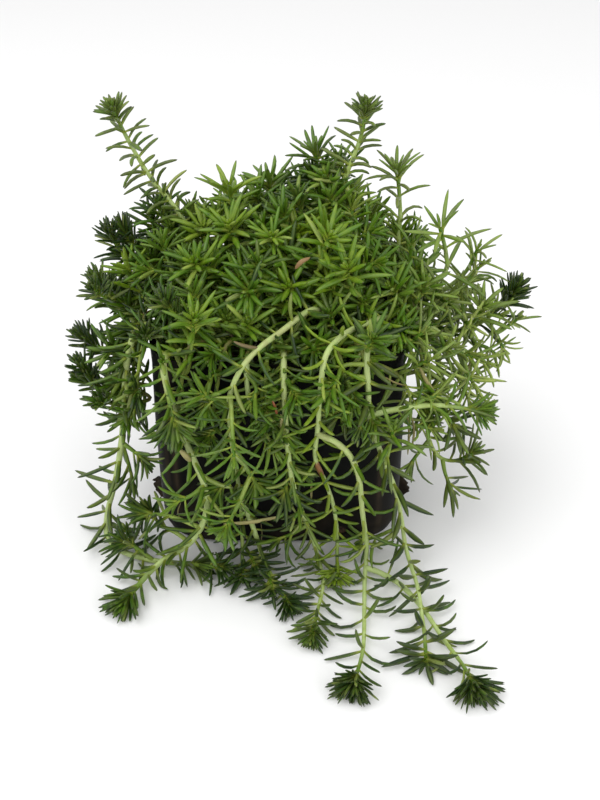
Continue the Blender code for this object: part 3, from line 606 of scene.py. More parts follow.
# The trailing stems: older ones that bend over the rim, hang down the bag's wall and run out over the
# ground, each ended by a dense brush of leaves.
TRAILING = {
    "front_left_of_middle": [
        [(20, -18), (24, -25, 113), (20, -33, 125), (14, -39, 130), (3, -50, 127), (-8, -58, 122),
         (-16, -62, 113), (-21, -62, 98), (-21, -60, 75), (-19, -59, 51), (-18, -59, 27), (-18, -62, 12),
         (-18, -68, 5), (-17, -76, 4)],
        [(-20.5, -60, 68), (-15, -63, 62), (-9, -65, 51)],
        [(-18.7, -59, 42), (-14, -62, 30), (-10, -63, 14), (-7, -68, 6), (-2, -78, 4), (5, -94, 4)],
    ],
    "front_middle": [
        [(40, -20), (48, -25, 112), (49, -30, 121), (36, -42, 124), (27, -52, 124), (21, -60, 120),
         (19, -64, 108), (18, -64, 86), (17, -62, 66), (22, -60, 50), (26, -60, 35), (28, -60, 18),
         (28, -63, 9), (28, -68, 4.5), (27, -76, 4.5)],
        [(17.8, -63.8, 81), (26, -67, 79), (33, -68, 71), (37, -68, 58), (39, -67, 39), (42, -64, 16),
         (42, -67, 6.5), (41, -76, 3.5), (40, -92, 3.5), (38, -119, 3.5), (33, -139, 4.5)],
        [(41.6, -70, 5), (48, -72, 4), (58, -80, 3.5), (67, -95, 3.2), (75, -115, 3.5), (81, -128, 3.5),
         (84, -140, 4.5)],
    ],
    "front_thin_right": [
        [(30, -26), (36, -38, 111), (39, -48, 117), (39, -56, 112), (40, -58, 101), (41, -59, 86),
         (48, -59, 64), (55, -59, 44), (59, -59, 25), (61, -62, 13), (63, -70, 8), (65, -87, 9),
         (66, -102, 5), (66, -114, 3.5), (65, -128, 4.5)],
        [(41, -59, 88), (55, -58, 91), (71, -54, 90), (85, -51, 86), (94, -50, 84)],
    ],
    "front_thin_left": [
        [(-8, -28), (-12, -41, 110), (-13, -52, 113), (-13, -57, 100), (-10, -58, 85), (-4, -59, 73),
         (3, -59, 64), (10, -59, 55)],
    ],
    "front_thin_middle": [
        [(2, -28), (3, -42, 110), (3, -53, 115), (3, -61, 105), (4, -66, 84), (6, -67, 60), (10, -66, 41),
         (15, -62, 20), (18, -63, 9), (20, -69, 4.5), (21, -80, 3.5), (18, -97, 3.5), (15, -114, 4.2)],
    ],
    "left_corner_thin": [
        [(-38, -28), (-46, -40, 110), (-50, -51, 111), (-47, -57, 93), (-41, -61, 73), (-35, -65, 57),
         (-33, -68, 48), (-34, -70, 38), (-39, -67, 24), (-46, -66, 14), (-55, -69, 10), (-63, -76, 6),
         (-72, -92, 4.5)],
    ],
    "left_corner_pale": [
        [(-46, -22), (-55, -26, 113), (-64, -29, 113), (-70, -32, 97), (-73, -36, 73), (-76, -39, 55),
         (-80, -42, 37), (-86, -40, 17), (-88, -42, 6), (-86, -48, 3.5), (-79, -56, 3.2), (-66, -62, 3.2),
         (-50, -65, 3.2), (-38, -66, 3.6)],
    ],
    "back_trailing_left": [
        [(-18, 30), (-22, 42, 111), (-24, 52, 112), (-26, 58, 96), (-28, 60, 74), (-32, 61, 56)],
    ],
    "back_trailing_right": [
        [(26, 30), (30, 42, 112), (34, 53, 113), (38, 58, 97), (36, 60, 70), (40, 61, 45), (47, 62, 27)],
    ],
    "right_side_trailing": [
        [(44, 18), (54, 20, 110), (64, 22, 111), (69, 24, 94), (71, 26, 70), (75, 26, 52)],
        [(64, 22, 111), (76, 28, 106), (87, 32, 97)],
        [(69, 24, 92), (79, 30, 88), (89, 34, 83)],
    ],
    "rim_left": [
        [(-44, 16), (-55, 17, 111), (-66, 19, 109), (-73, 21, 97), (-77, 22, 84)],
        [(-64, 19, 110), (-71, 28, 108), (-77, 34, 100)],
    ],
    "rim_back_left": [
        [(-36, 28), (-46, 37, 111), (-54, 45, 110), (-60, 51, 99), (-63, 54, 86)],
        [(-48, 40, 112), (-47, 51, 109), (-48, 59, 98)],
    ],
    "rim_back_middle": [
        [(-2, 33), (-1, 43, 111), (0, 53, 111), (2, 60, 99), (3, 63, 84)],
        [(0, 50, 112), (9, 57, 110), (14, 62, 101)],
    ],
    "rim_back_right": [
        [(42, 28), (51, 38, 111), (58, 45, 110), (64, 50, 98), (67, 52, 84)],
        [(54, 41, 112), (53, 52, 109), (53, 59, 99)],
    ],
}

# The shoots that fill the rest of the cushion: by a seeded rule, tips spread over half an ellipsoid where
# no other tip is near, and each root about half as far out as its tip.
SHOOT_COUNT = 20
SHOOT_SEED = 12
CUSHION_HALF = (84.0, 60.0, 58.0)
CUSHION_MIDDLE = (2.0, 4.0, SOIL_TOP + 2)
CUSHION_ROOTS = (0.50, 0.52)
ROOT_REACH = (47.0, 33.0)
LOWEST_SHOOT = 0.12
TIP_DISTANCE = 16.0
ROOT_DISTANCE = 6.5
OVER_RIM = 9.0
SHOOT_ARCH = ((0.3, 0.62), (0.66, 0.92))


def cushion_shoots(routes):
    """Shoots by rule: tips spread evenly over half an ellipsoid, where no other tip is near."""
    draw = np.random.default_rng(SHOOT_SEED)
    tips = [np.array(route[-1], float) for group in routes.values() for route in group]
    roots = [np.array(group[0][0], float) for group in routes.values()]
    half, made = np.array(CUSHION_HALF), {}
    while len(made) < SHOOT_COUNT:
        height, turn = draw.uniform(LOWEST_SHOOT, 1), draw.uniform(0, math.tau)
        level = math.sqrt(1 - height**2)
        tip = half * (level * math.cos(turn), level * math.sin(turn), height) + CUSHION_MIDDLE
        root = tip[:2] * CUSHION_ROOTS
        root /= max(1, np.linalg.norm(root / ROOT_REACH))
        if min(np.linalg.norm(tip - other) for other in tips) < TIP_DISTANCE:
            continue
        if min(np.linalg.norm(root - other) for other in roots) < ROOT_DISTANCE:
            continue
        rise = max(tip[2], RIM + OVER_RIM) - SOIL_TOP
        middle = [(*(root + out * (tip[:2] - root)), SOIL_TOP + up * rise) for out, up in SHOOT_ARCH]
        made[f"shoot_{len(made) + 1:02d}"] = [[tuple(root), *middle, tuple(tip)]]
        tips.append(tip)
        roots.append(root)
    return made


routes = {**STANDING, **TRAILING}
routes.update(cushion_shoots(routes))
coarse = [
    (name, smooth_curve(above_soil(route), ROUTE_STEP)) for name, group in routes.items() for route in group
]
lines = []
for name, line in bent_clear(coarse):
    line = smooth_curve(line, LINE_STEP)
    earlier = [other for owner, other in lines if owner == name]
    if earlier:
        near = np.vstack(earlier)
        line[0] = near[np.argmin(np.linalg.norm(near - line[0], axis=1))]
    else:
        line = np.vstack([[*line[0, :2], SOIL_TOP - ROOT_DEPTH], line])
    lines.append((name, line))

# The branches: shorter shoots that leave the standing and trailing stems. They close the cushion over the
# soil, thicken its two flanks and hang in front of the bag. Each leaves its stem part of the way along,
# turns out and up, and ends where no other tip is near. Those that show most have their places given, with
# a habit, a tone and a paleness.
BRANCH_RADIUS = (1.15, 0.75)
CUSHION_SWELL = (1.06, 1.08)
CUSHION_RIGHT = 66.0
CUSHION_BACK = 60.0
CLEAR_OF_WALL = 1.1
MOST_TRIES = 9000
GROWN_NEAR = 6.0
RIM_SHOOT_COUNT = 22
LEFT_FLANK = ("dark_upper_left", "dark_left", "comb_left", "low_left", "back_left_rosette", "corner_rosette")
RIGHT_FLANK = ("star_right", "loose_right", "low_star_right", "right_upper_shoot", "right_middle_shoot",
               "right_low_shoot", "right_side_trailing", "star_back_right")
PLACED_SHOOTS = {
    "left_shoots": [
        ("star", 0.4, 0.0, [(-62, -26, 74), (-69, -25, 79), (-78, -24, 82)]),
        ("star", 0.5, 0.0, [(-62, -20, 78), (-67, -18, 86), (-72, -16, 94)]),
        ("lax", 0.25, 0.0, [(-66, -28, 79), (-68, -30, 73), (-73, -30, 66)]),
        ("star", 0.3, 0.0, [(-54, -34, 100), (-49, -46, 92), (-47, -57, 82)]),
        ("star", 0.55, 0.0, [(-48, 6, 126), (-54, 8, 130), (-60, 10, 135)]),
        ("lax", 0.3, 0.0, [(-52, 14, 138), (-54, 16, 146), (-57, 18, 155)]),
        ("star", 0.45, 0.0, [(-61, -10, 103), (-67, -8, 108), (-74, -6, 115)]),
        ("comb", 0.12, 0.0, [(-77, -26, 73), (-86, -25, 81), (-94, -24, 93)]),
        ("brush", 0.02, 0.0, [(-65, 10, 132), (-70, 11, 139), (-74, 12, 146)]),
        ("long", 0.25, 0.0, [(-76, -36, 57), (-74, -38, 47), (-72, -40, 35)]),
    ],
    "curtain_shoots": [
        ("star", 0.75, 0.05, [(-41, -46, 102), (-37, -50, 119), (-35, -52, 134)]),
        ("star", 0.4, 0.05, [(-51, -52, 108), (-50, -55, 112), (-49, -58, 116)]),
        ("stout", 0.35, 0.05, [(-48, -56, 100), (-47, -61, 94), (-45, -65, 84)]),
        ("star", 0.35, 0.05, [(37, -50, 115), (39, -56, 122), (41, -60, 129)]),
        ("long", 0.5, 0.1, [(-22, -62, 96), (-27, -64, 100), (-34, -64, 104)]),
        ("star", 0.45, 0.0, [(3, -52, 103), (6, -60, 103), (9, -65, 101)]),
        ("star", 0.6, 0.0, [(29, -54, 111), (26, -62, 109), (22, -66, 104)]),
        ("long", 0.55, 0.1, [(-8, -54, 108), (-9, -60, 103), (-12, -64, 98)]),
        ("star", 0.1, 0.0, [(5, -63, 61), (4, -66, 55), (2, -67, 47)]),
        ("brush", 0.25, 0.0, [(14, -64, 39), (10, -68, 40), (7, -71, 37)]),
        ("brush", 0.1, 0.0, [(40, -58, 90), (38, -63, 88), (36, -66, 84)]),
        ("long", 0.4, 0.15, [(50, -60, 61), (50, -64, 73), (51, -67, 86)]),
        ("long", 0.6, 0.1, [(-33, -67, 54), (-39, -71, 52), (-47, -73, 49)]),
        ("long", 0.55, 0.15, [(-7, -58, 82), (-6, -63, 78), (-1, -66, 73)]),
        ("long", 0.35, 0.05, [(-17, -56, 83), (-25, -58, 80), (-34, -58, 75)]),
        ("star", 0.3, 0.0, [(-7, -54, 97), (-4, -60, 93), (-2, -63, 85)]),
        ("star", 0.4, 0.0, [(-29, -50, 105), (-30, -57, 101), (-32, -60, 92)]),
        ("wiry", 0.35, 0.0, [(31, -56, 106), (33, -60, 99), (30, -64, 93)]),
        ("brush", 0.45, 0.0, [(68, -26, 106), (61, -32, 112), (54, -37, 118)]),
    ],
    "corner_shoots": [
        ("lax", 0.35, 0.0, [(-39, -66, 31), (-52, -64, 33), (-67, -60, 31)]),
        ("lax", 0.2, 0.0, [(-49, -64, 22), (-57, -60, 24), (-63, -56, 31)]),
        ("lax", 0.35, 0.0, [(-63, -65, 5), (-69, -62, 10), (-77, -60, 14)]),
        ("lax", 0.3, 0.0, [(-44, -62, 5), (-35, -70, 6), (-26, -73, 8)]),
        ("lax", 0.3, 0.0, [(-75, -38, 58), (-69, -42, 54), (-64, -44, 50)]),
        ("long", 0.35, 0.05, [(-64, -60, -1), (-70, -58, 4), (-75, -54, 15)]),
    ],
    "foot_shoots": [
        ("star", 0.14, 0.0, [(-18, -56, 7), (-14, -65, 8), (-11, -71, 7)]),
        ("lax", 0.08, 0.0, [(-4, -66, 6), (-5, -76, 7), (-3, -86, 6)]),
    ],
    "right_shoots": [
        ("wiry", 0.3, 0.3, [(87, 0, 118), (90, 1, 124), (95, 2, 131)]),
        ("star", 0.6, 0.3, [(63, -18, 122), (65, -18, 127), (67, -17, 132)]),
        ("wiry", 0.4, 0.35, [(101, -6, 96), (107, -7, 101), (114, -8, 108)]),
        ("wiry", 0.5, 0.45, [(95, -8, 94), (100, -10, 93), (105, -12, 90)]),
        ("star", 0.2, 0.1, [(73, -42, 80), (78, -44, 76), (83, -45, 71)]),
        ("wiry", 0.45, 0.5, [(77, -22, 86), (73, -26, 81), (68, -30, 76)]),
        ("wiry", 0.45, 0.5, [(83, -16, 85), (88, -20, 78), (92, -24, 71)]),
        ("wiry", 0.3, 0.2, [(70, -38, 57), (67, -42, 54), (62, -46, 49)]),
        ("long", 0.2, 0.1, [(77, -37, 43), (81, -40, 39), (85, -42, 30)]),
        ("wiry", 0.5, 0.5, [(59, -56, 90), (65, -54, 93), (73, -50, 93)]),
        ("star", 0.5, 0.4, [(92, -6, 100), (94, -8, 108), (96, -10, 116)]),
        ("wiry", 0.45, 0.5, [(57, -50, 79), (64, -52, 77), (72, -52, 75)]),
        ("long", 0.45, 0.4, [(53, -46, 102), (57, -48, 97), (61, -50, 90)]),
        ("long", 0.45, 0.5, [(56, -40, 97), (62, -42, 103), (69, -44, 108)]),
        ("wiry", 0.4, 0.5, [(57, -46, 88), (64, -48, 93), (73, -48, 96)]),
        ("long", 0.4, 0.5, [(76, -20, 98), (83, -22, 98), (92, -24, 96)]),
        ("wiry", 0.35, 0.4, [(55, -34, 107), (59, -38, 113), (65, -40, 120)]),
    ],
    "top_shoots": [
        ("lax", 0.4, 0.05, [(33, 22, 155), (31, 24, 163), (28, 26, 173)]),
        ("lax", 0.3, 0.0, [(24, 26, 151), (20, 28, 158), (15, 30, 166)]),
        ("star", 0.6, 0.05, [(31, 14, 147), (25, 15, 151), (19, 16, 158)]),
        ("rosette", 0.8, 0.05, [(-19, -2, 143), (-21, -4, 149), (-22, -6, 156)]),
        ("rosette", 0.75, 0.05, [(33, -28, 131), (32, -32, 139), (30, -35, 149)]),
        ("rosette", 0.8, 0.0, [(19, -24, 143), (20, -26, 152), (23, -27, 160)]),
        ("star", 0.7, 0.0, [(-34, -16, 133), (-35, -20, 140), (-37, -24, 146)]),
    ],
}


def bag_halves(level):
    """The bag's half width and half depth at given heights."""
    profile = np.array(BAG_PROFILE, float)
    return [np.interp(level, profile[:, 2], profile[:, side]) for side in (0, 1)]


def bag_share(points):
    """How far out points are from the bag's middle line, as a share of its outline at their height."""
    x, y = points[..., 0], points[..., 1]
    return np.hypot(x, y) / reach(np.arctan2(y, x), *bag_halves(points[..., 2]))


def in_cushion(start, tip):
    """Whether a branch stays in the cushion: its tip lies no lower than the rim, not far out at the back or
    the right, and in an ellipsoid that is up to a third taller behind the middle, more so to the right."""
    behind = np.clip((tip[1] + 5) / 30, 0, 1)
    taller = 1.0 + behind * np.clip((tip[0] + 20) / 110, 0.04, 0.34) * (tip[0] < 38)
    level = (tip - CUSHION_MIDDLE) / (np.array(CUSHION_HALF) * (*CUSHION_SWELL, taller))
    near = tip[0] < CUSHION_RIGHT and tip[1] < CUSHION_BACK
    return near and level @ level < 1 and tip[2] > RIM - 4 and start[2] > SOIL_TOP + 2


def within(low, high):
    """A rule that lets a branch end in a box of space, if it is clear of the bag's wall or of its rim."""
    def allowed(start, tip):
        outside = min(bag_share(start), bag_share(tip)) > CLEAR_OF_WALL
        over_rim = min(start[2], tip[2]) > RIM + 6
        return (outside or over_rim) and bool(np.all(tip > low) and np.all(tip < high))
    return allowed


def branches(parents, count, seed, stretch, lengths, lean, apart, allowed):
    """Branch lines by rule: a drawn start on a drawn stem, within a stretch of its length, then a drawn
    length in a direction mixed from the stem's own, a drawn level one and the vertical, and a rise of its
    tip. A branch stays where it is allowed and no other tip is near."""
    draw = np.random.default_rng(seed)
    stems = [(name, line) for name, line in lines if name in parents]
    made = []
    for _ in range(MOST_TRIES):
        name, line = stems[draw.integers(len(stems))]
        spot = int(len(line) * draw.uniform(*stretch))
        start, ahead = line[spot], unit(line[min(spot + 1, len(line) - 1)] - line[spot - 1])
        heading = draw.uniform(0, math.tau)
        out = np.array([math.cos(heading), math.sin(heading), 0.0])
        length = draw.uniform(*lengths)
        direction = unit(lean[0] * ahead + lean[1] * out + (0, 0, lean[2]))
        tip = start + direction * length + (0, 0, lean[3] * length)
        if not allowed(start, tip) or min(np.linalg.norm(tip - other) for other in tips) < apart:
            continue
        made.append(smooth_curve([start, start + direction * length * 0.55, tip], LINE_STEP))
        tips.append(tip)
        if len(made) == count:
            break
    return made


def rim_shoots(count, seed):
    """Shoots all round the bag that stand in the soil's edge, arch over the rim and droop down the wall."""
    draw = np.random.default_rng(seed)
    made = []
    for number in range(count):
        heading = math.tau * (number + draw.uniform(-0.3, 0.3)) / count
        out = np.array([math.cos(heading), math.sin(heading)])
        edge = reach(heading, *BAG_PROFILE[-1][:2])
        drop, turn = draw.uniform(2, 40), draw.uniform(-9, 9)
        beside = np.array([-out[1], out[0]]) * turn
        made.append(smooth_curve([
            (*(out * edge * 0.72), SOIL_TOP - 1),
            (*(out * edge * 0.86 + beside * 0.2), RIM + 5),
            (*(out * (edge + 2) + beside * 0.5), RIM + 8),
            (*(out * (edge + 9) + beside * 0.8), RIM + 3 - 0.4 * drop),
            (*(out * (edge + 12) + beside), RIM + 2 - 0.85 * drop),
            (*(out * (edge + 18) + beside), RIM - drop),
        ], LINE_STEP))
        tips.append(made[-1][-1])
    return made


def grown_on(points):
    """A branch line through given points, begun at the nearest point of the stems."""
    near = np.vstack([line for _, line in lines])
    away = np.linalg.norm(near - points[0], axis=1)
    given = points[1:] if away.min() < GROWN_NEAR else points
    return smooth_curve([near[away.argmin()], *given], LINE_STEP)


placed_lines = {group: [grown_on(shoot[3]) for shoot in shoots] for group, shoots in PLACED_SHOOTS.items()}
tips = [line[-1] for _, line in lines] + [line[-1] for group in placed_lines.values() for line in group]
standing = [name for name in routes if name not in TRAILING]
rim_lines = rim_shoots(RIM_SHOOT_COUNT, 3)
# A group's stems, its number of branches and its seed, then the stretch of the stem that they leave from,
# their lengths, their lean (ahead, out, up, and the tip's rise), the distance between tips and where they
# may grow.
BRANCH_RULES = {
    "cushion_branches": (standing, 72, 31, (0.2, 0.85), (14, 44), (0.5, 0.7, 0.5, 0.25), 10.5, in_cushion),
    "left_flank_branches": (LEFT_FLANK, 9, 32, (0.3, 0.85), (12, 26), (0.5, 0.8, 0.2, 0.2), 13.0,
                            within((-96, -60, 84), (0, 58, 140))),
    "right_flank_branches": (RIGHT_FLANK, 8, 33, (0.3, 0.85), (14, 28), (0.5, 0.8, 0.0, 0.2), 14.0,
                             within((0, -60, 78), (98, 58, 130))),
    "curtain_branches": (TRAILING, 6, 36, (0.2, 0.6), (10, 24), (0.5, 0.9, -0.2, 0.0), 12.0,
                         within((-58, -60, 60), (56, -50, 112))),
    "hanging_branches": (TRAILING, 5, 34, (0.25, 0.7), (16, 34), (0.6, 0.9, -0.1, 0.1), 16.0,
                         within((-62, -90, 6), (60, 60, 110))),
}
branch_lines = {name: branches(*rule) for name, rule in BRANCH_RULES.items()}
branch_lines["rim_shoots"] = rim_lines

# The leaves: narrow, fleshy and blunt, in a spiral round the stem. They stand close in a bud at its tip and
# spread with age, and on older stems they gather in threes. Open shoots end in a wide star and others in a
# close brush. Each leaf is green with a paler root, a painted highlight along its midline and a small dark
# point.
LEAF_THICKNESS = (0.6, 0.8)
LEAF_STATIONS = (0.0, 0.12, 0.36, 0.62, 0.82, 0.94)
LEAF_SIDES = 6
FOOT_STEP = 0.5
GOLDEN_ANGLE = math.radians(137.508)
MOST_LEAVES = 170
WHORL = 0.75
BARE_ROOT = 7.0
LEAST_CURL = 0.02
LEAST_PITCH = math.radians(36)
SHADE_REACH = 26.0
LOW_SHADE = 0.7
LOW_HEIGHTS = (14.0, 64.0)
PALE_SHARE = 0.05
DRY_SHARE = 0.008
DRY_BEHIND = 45.0
FLARE_REACH = 5.0
BUD_HALF = 0.8
BUD_REACH = 8.0
WALL_CLEARANCE = 2.2
GROUND_CLEARANCE = 1.1
GROUND_SOFTNESS = 1.2
AGAINST_WALL = 1.42
LYING_HEIGHT = 14.0
# How a habit's leaves stand, from the tip back: heart is the number of the smallest, heart_size their share
# of a full length, bud the number that stand closest, and growing the number over which the gaps then open.
# Pairs go from a young leaf to an old one, pitches and curls in degrees. Ages are the millimetres behind the
# tip over which size and pitch grow. Shade darkens a tip, flare spreads it, and lift turns its leaves up.
HABIT_FIELDS = ("heart", "heart_size", "bud", "growing", "gaps", "lengths", "pitches", "curls", "ages",
                "half_width", "taper", "shade", "flare", "lift")
HABIT_ROWS = {
    "rosette": (5, 0.6, 9, 10, (0.4, 3.2), (6, 19), (28, 74), (-12, 30), (1.5, 2.6), 1.5, 0.9, 0, 0, 0),
    "star": (5, 0.6, 8, 10, (0.4, 3.3), (6, 18), (22, 72), (-12, 34), (1.7, 3), 1.27, 0.5, 0, 0, 0),
    "lax": (8, 0.6, 12, 9, (0.4, 3.5), (5, 18), (20, 74), (-10, 56), (2.4, 3.6), 1.04, 0.2, 0, 0, 0),
    "wiry": (4, 0.6, 3, 6, (0.8, 4), (6, 18.5), (22, 78), (-8, 64), (2.2, 3.4), 0.86, 0.1, 0, 0, 0),
    "long": (4, 0.6, 4, 6, (0.8, 4.3), (7, 21), (22, 80), (-8, 50), (2.2, 3.4), 1.12, 0.6, 0, 0, 0),
    "stout": (8, 0.7, 12, 12, (0.3, 2.3), (6, 19), (12, 70), (-12, 42), (3.5, 5), 1.2, 0.3, 0.3, 14, 0),
    "arched": (16, 0.7, 26, 12, (0.2, 1.35), (4.6, 15.5), (8, 80), (-12, 46), (7, 6), 1.14, 0.15, 0.3, 34, 0),
    "tuft": (16, 0.85, 22, 14, (0.2, 2.6), (7.5, 16), (8, 74), (-10, 46), (5.5, 7), 0.95, 0.15, 0, 40, 0),
    "brush": (12, 0.7, 22, 26, (0.26, 1.5), (6, 15), (8, 72), (-14, 46), (5, 7.5), 0.94, 0.15, 0.3, 14, 0),
    "comb": (12, 0.7, 18, 22, (0.28, 1.7), (6, 14), (8, 68), (-20, 12), (4.5, 6), 1.02, 0.15, 0.3, 14, 1.1),
    "crest": (24, 0.7, 46, 10, (0.2, 2.2), (9.4, 15), (10, 66), (-16, 34), (7, 9), 0.98, 0.1, 0.6, 42, 0),
    "plume": (22, 0.7, 36, 14, (0.16, 2), (10, 19), (5, 66), (-12, 34), (6, 9), 1.12, 0.15, 0.3, 34, 0),
    "fan": (34, 0.44, 50, 12, (0.1, 3), (13.7, 18.5), (3, 84), (-10, 78), (14, 13), 1, 0.1, 0.7, 62, 0),
}
HABITS = {name: dict(zip(HABIT_FIELDS, row)) for name, row in HABIT_ROWS.items()}
DEEP_GREEN = (26, 49, 10)
LEAF_GREEN = (71, 108, 8)
YELLOW_GREEN = (112, 138, 20)
PALE_GREEN = (166, 178, 94)
LEAF_ROOT_PALE = (158, 170, 62)
LEAF_POINT_DARK = (44, 44, 24)
# The leaves' paler underside, also used for the painted highlight along their midlines.
LEAF_UNDERSIDE_AND_HIGHLIGHT = (124, 144, 52)
STRAW = (160, 154, 98)
DRY_BROWN = (98, 80, 56)
DRY_RED = (160, 76, 44)
STEM_PALE = (192, 210, 140)
STEM_GREEN = (154, 172, 76)
STEM_OLD = (134, 118, 72)
GREEN_STRETCH = 28.0
PALING_STRETCH = 60.0
TANNING_STRETCH = 90.0
MARKS = ("along", "across", "tone", "pale", "dry")
LEAF_SKIN, STEM_SKIN = 0, 1
STOUT = ("left_corner_pale", "left_corner_thin")
TRAILING_LOOK = ("fan", 0.38, 0.05)
# Each line's habit, tone from dark to yellow-green, and paleness. Lines past those given take the last.
LOOKS = {
    "tall_back_left": [("arched", 0.3, 0.25), ("lax", 0.4, 0.15)],
    "tall_back_middle": [("arched", 0.32, 0.25)],
    "short_back_middle": [("lax", 0.35, 0.1)],
    "bright_back_right": [("rosette", 0.9, 0.1)],
    "yellow_back_left": [("star", 0.85, 0.1)],
    "pale_back_left": [("star", 0.55, 0.15)],
    "star_back_right": [("lax", 0.32, 0.35)],
    "star_right": [("long", 0.42, 0.35), ("wiry", 0.3, 0.15), ("wiry", 0.5, 0.5)],
    "loose_right": [("wiry", 0.38, 0.48)],
    "fan_far_right": [("crest", 0.05, 0.0)],
    "dark_upper_left": [("brush", 0.0, 0.0)],
    "dark_left": [("comb", 0.3, 0.05), ("star", 0.35, 0.05)],
    "comb_left": [("comb", 0.1, 0.0)],
    "low_left": [("comb", 0.16, 0.0)],
    "back_left_rosette": [("star", 0.3, 0.0), ("lax", 0.3, 0.0)],
    "front_rosette": [("rosette", 0.75, 0.0)],
    "front_left_rosette": [("rosette", 0.7, 0.0)],
    "middle_rosette": [("rosette", 1.0, 0.0), ("star", 1.0, 0.1)],
    "corner_rosette": [("star", 0.6, 0.05)],
    "right_rosette": [("star", 0.55, 0.05)],
    "low_star_right": [("lax", 0.22, 0.2)],
    "right_upper_shoot": [("wiry", 0.45, 0.68), ("wiry", 0.38, 0.43), ("wiry", 0.48, 0.73)],
    "right_middle_shoot": [("wiry", 0.48, 0.68)],
    "right_low_shoot": [("wiry", 0.38, 0.58)],
    "right_side_trailing": [("wiry", 0.4, 0.3)],
    "front_middle": [("tuft", 1.0, 0.15), ("fan", 0.42, 0.05), ("fan", 0.36, 0.05)],
    "front_thin_right": [("rosette", 0.1, 0.05), ("tuft", 0.45, 0.05)],
    "front_thin_middle": [("brush", 0.4, 0.1)],
    "front_thin_left": [("tuft", 0.25, 0.0)],
    "front_left_of_middle": [("star", 0.22, 0.0), ("star", 0.45, 0.05), ("tuft", 0.08, 0.0)],
    "left_corner_thin": [("plume", 0.45, 0.05)],
    "left_corner_pale": [("stout", 0.28, 0.1)],
    "rim_left": [("lax", 0.25, 0.0), ("star", 0.35, 0.0)],
    "rim_back_left": [("star", 0.4, 0.05)],
    "rim_back_middle": [("lax", 0.45, 0.1), ("star", 0.5, 0.1)],
    "rim_back_right": [("star", 0.4, 0.15)],
}


def fleshy(shader, shine, tint):
    """A waxy shine over flesh that carries a little light through it, red, green and blue by the tint."""
    shader.inputs["Specular IOR Level"].default_value = shine
    shader.inputs["Subsurface Weight"].default_value = 0.12
    shader.inputs["Subsurface Radius"].default_value = tint
    shader.inputs["Subsurface Scale"].default_value = 0.0015


def leaf_skin():
    """Fleshy leaf: its green by the leaf's own tone, paler at the root and underside, with a painted
    highlight along its midline, dark at the point, and straw, brown or red where the leaf is dry."""
    made, tree, shader = finish("leaf_skin")
    along, across = marked(tree, "along"), marked(tree, "across")
    cloud = grained(tree, 260, 2)
    tone = worked(tree, "ADD", marked(tree, "tone"), ranged(tree, cloud, 0.3, 0.7, -0.12, 0.12))
    colour = blended(tree, ranged(tree, tone, 0.0, 0.5), DEEP_GREEN, LEAF_GREEN)
    colour = blended(tree, ranged(tree, tone, 0.5, 1.0), colour, YELLOW_GREEN)
    colour = blended(tree, marked(tree, "pale"), colour, PALE_GREEN)
    colour = blended(tree, ranged(tree, across, -0.4, -1.0, 0.0, 0.3), colour, LEAF_UNDERSIDE_AND_HIGHLIGHT)
    # Painted highlight: a paler band along the midline of each leaf's upper face.
    colour = blended(tree, ranged(tree, across, 0.7, 1.0, 0.0, 0.25), colour, LEAF_UNDERSIDE_AND_HIGHLIGHT)
    colour = blended(tree, ranged(tree, along, 0.34, 0.0, 0.0, 0.8), colour, LEAF_ROOT_PALE)
    colour = blended(tree, ranged(tree, along, 0.88, 0.99, 0.0, 0.7), colour, LEAF_POINT_DARK)
    dry = blended(tree, marked(tree, "tone"), DRY_BROWN, STRAW)
    dry = blended(tree, marked(tree, "pale"), dry, DRY_RED)
    colour = blended(tree, marked(tree, "dry"), colour, dry)
    feed(tree, shader.inputs["Base Color"], colour)
    feed(tree, shader.inputs["Roughness"], ranged(tree, cloud, 0.3, 0.7, 0.36, 0.52))
    feed(tree, shader.inputs["Normal"], raised(tree, grained(tree, 1300, 2), 0.12, 0.0003))
    fleshy(shader, 0.42, (0.5, 1.0, 0.2))
    return made


def stem_skin():
    """Fleshy stem: green near its tip, whitish or yellow-green along it, dull brown at its oldest, and with
    painted shade, greener and browner, low over the bag's rim.
    """
    made, tree, shader = finish("stem_skin")
    cloud = grained(tree, 240, 3)
    pale = worked(tree, "ADD", marked(tree, "pale"), ranged(tree, cloud, 0.3, 0.7, -0.35, 0.2))
    colour = blended(tree, ranged(tree, pale, 0.0, 1.0), STEM_GREEN, STEM_PALE)
    # The along and dry marks also carry the painted shade by the rim, so it turns the stem greener and
    # browner there.
    behind = ranged(tree, marked(tree, "along"), 0.0, 1.0, 0.0, 0.8)
    colour = blended(tree, behind, LEAF_GREEN, colour)
    tan_and_shade = worked(tree, "MULTIPLY", marked(tree, "dry"), ranged(tree, cloud, 0.35, 0.6))
    colour = blended(tree, tan_and_shade, colour, STEM_OLD)
    feed(tree, shader.inputs["Base Color"], colour)
    shader.inputs["Roughness"].default_value = 0.5
    feed(tree, shader.inputs["Normal"], raised(tree, grained(tree, 1100, 2), 0.15, 0.0003))
    fleshy(shader, 0.35, (0.8, 1.0, 0.4))
    return made


def eased(share):
    """A smooth step from 0 to 1."""
    share = np.clip(share, 0, 1)
    return share * share * (3 - 2 * share)


def grown_from(young, old, age):
    """A measure of a leaf between a young one's and an old one's."""
    return young + (old - young) * age


def leaf_backs(total, habit):
    """How far behind the tip each leaf sits: first the heart of the bud, then gaps that open with the
    leaves' number, gathered in threes."""
    number = np.arange(MOST_LEAVES)
    grown = eased((number - habit["bud"]) / habit["growing"])
    back = np.cumsum(habit["gaps"][0] + (habit["gaps"][1] - habit["gaps"][0]) * grown) + BUD_HALF
    nearest = np.minimum(3 * np.round(number / 3).astype(int), MOST_LEAVES - 1)
    back = back + WHORL * grown * (back[nearest] - back)
    back = np.concatenate([np.linspace(-BUD_HALF, BUD_HALF, habit["heart"]), back])
    return back[back < total - BARE_ROOT]


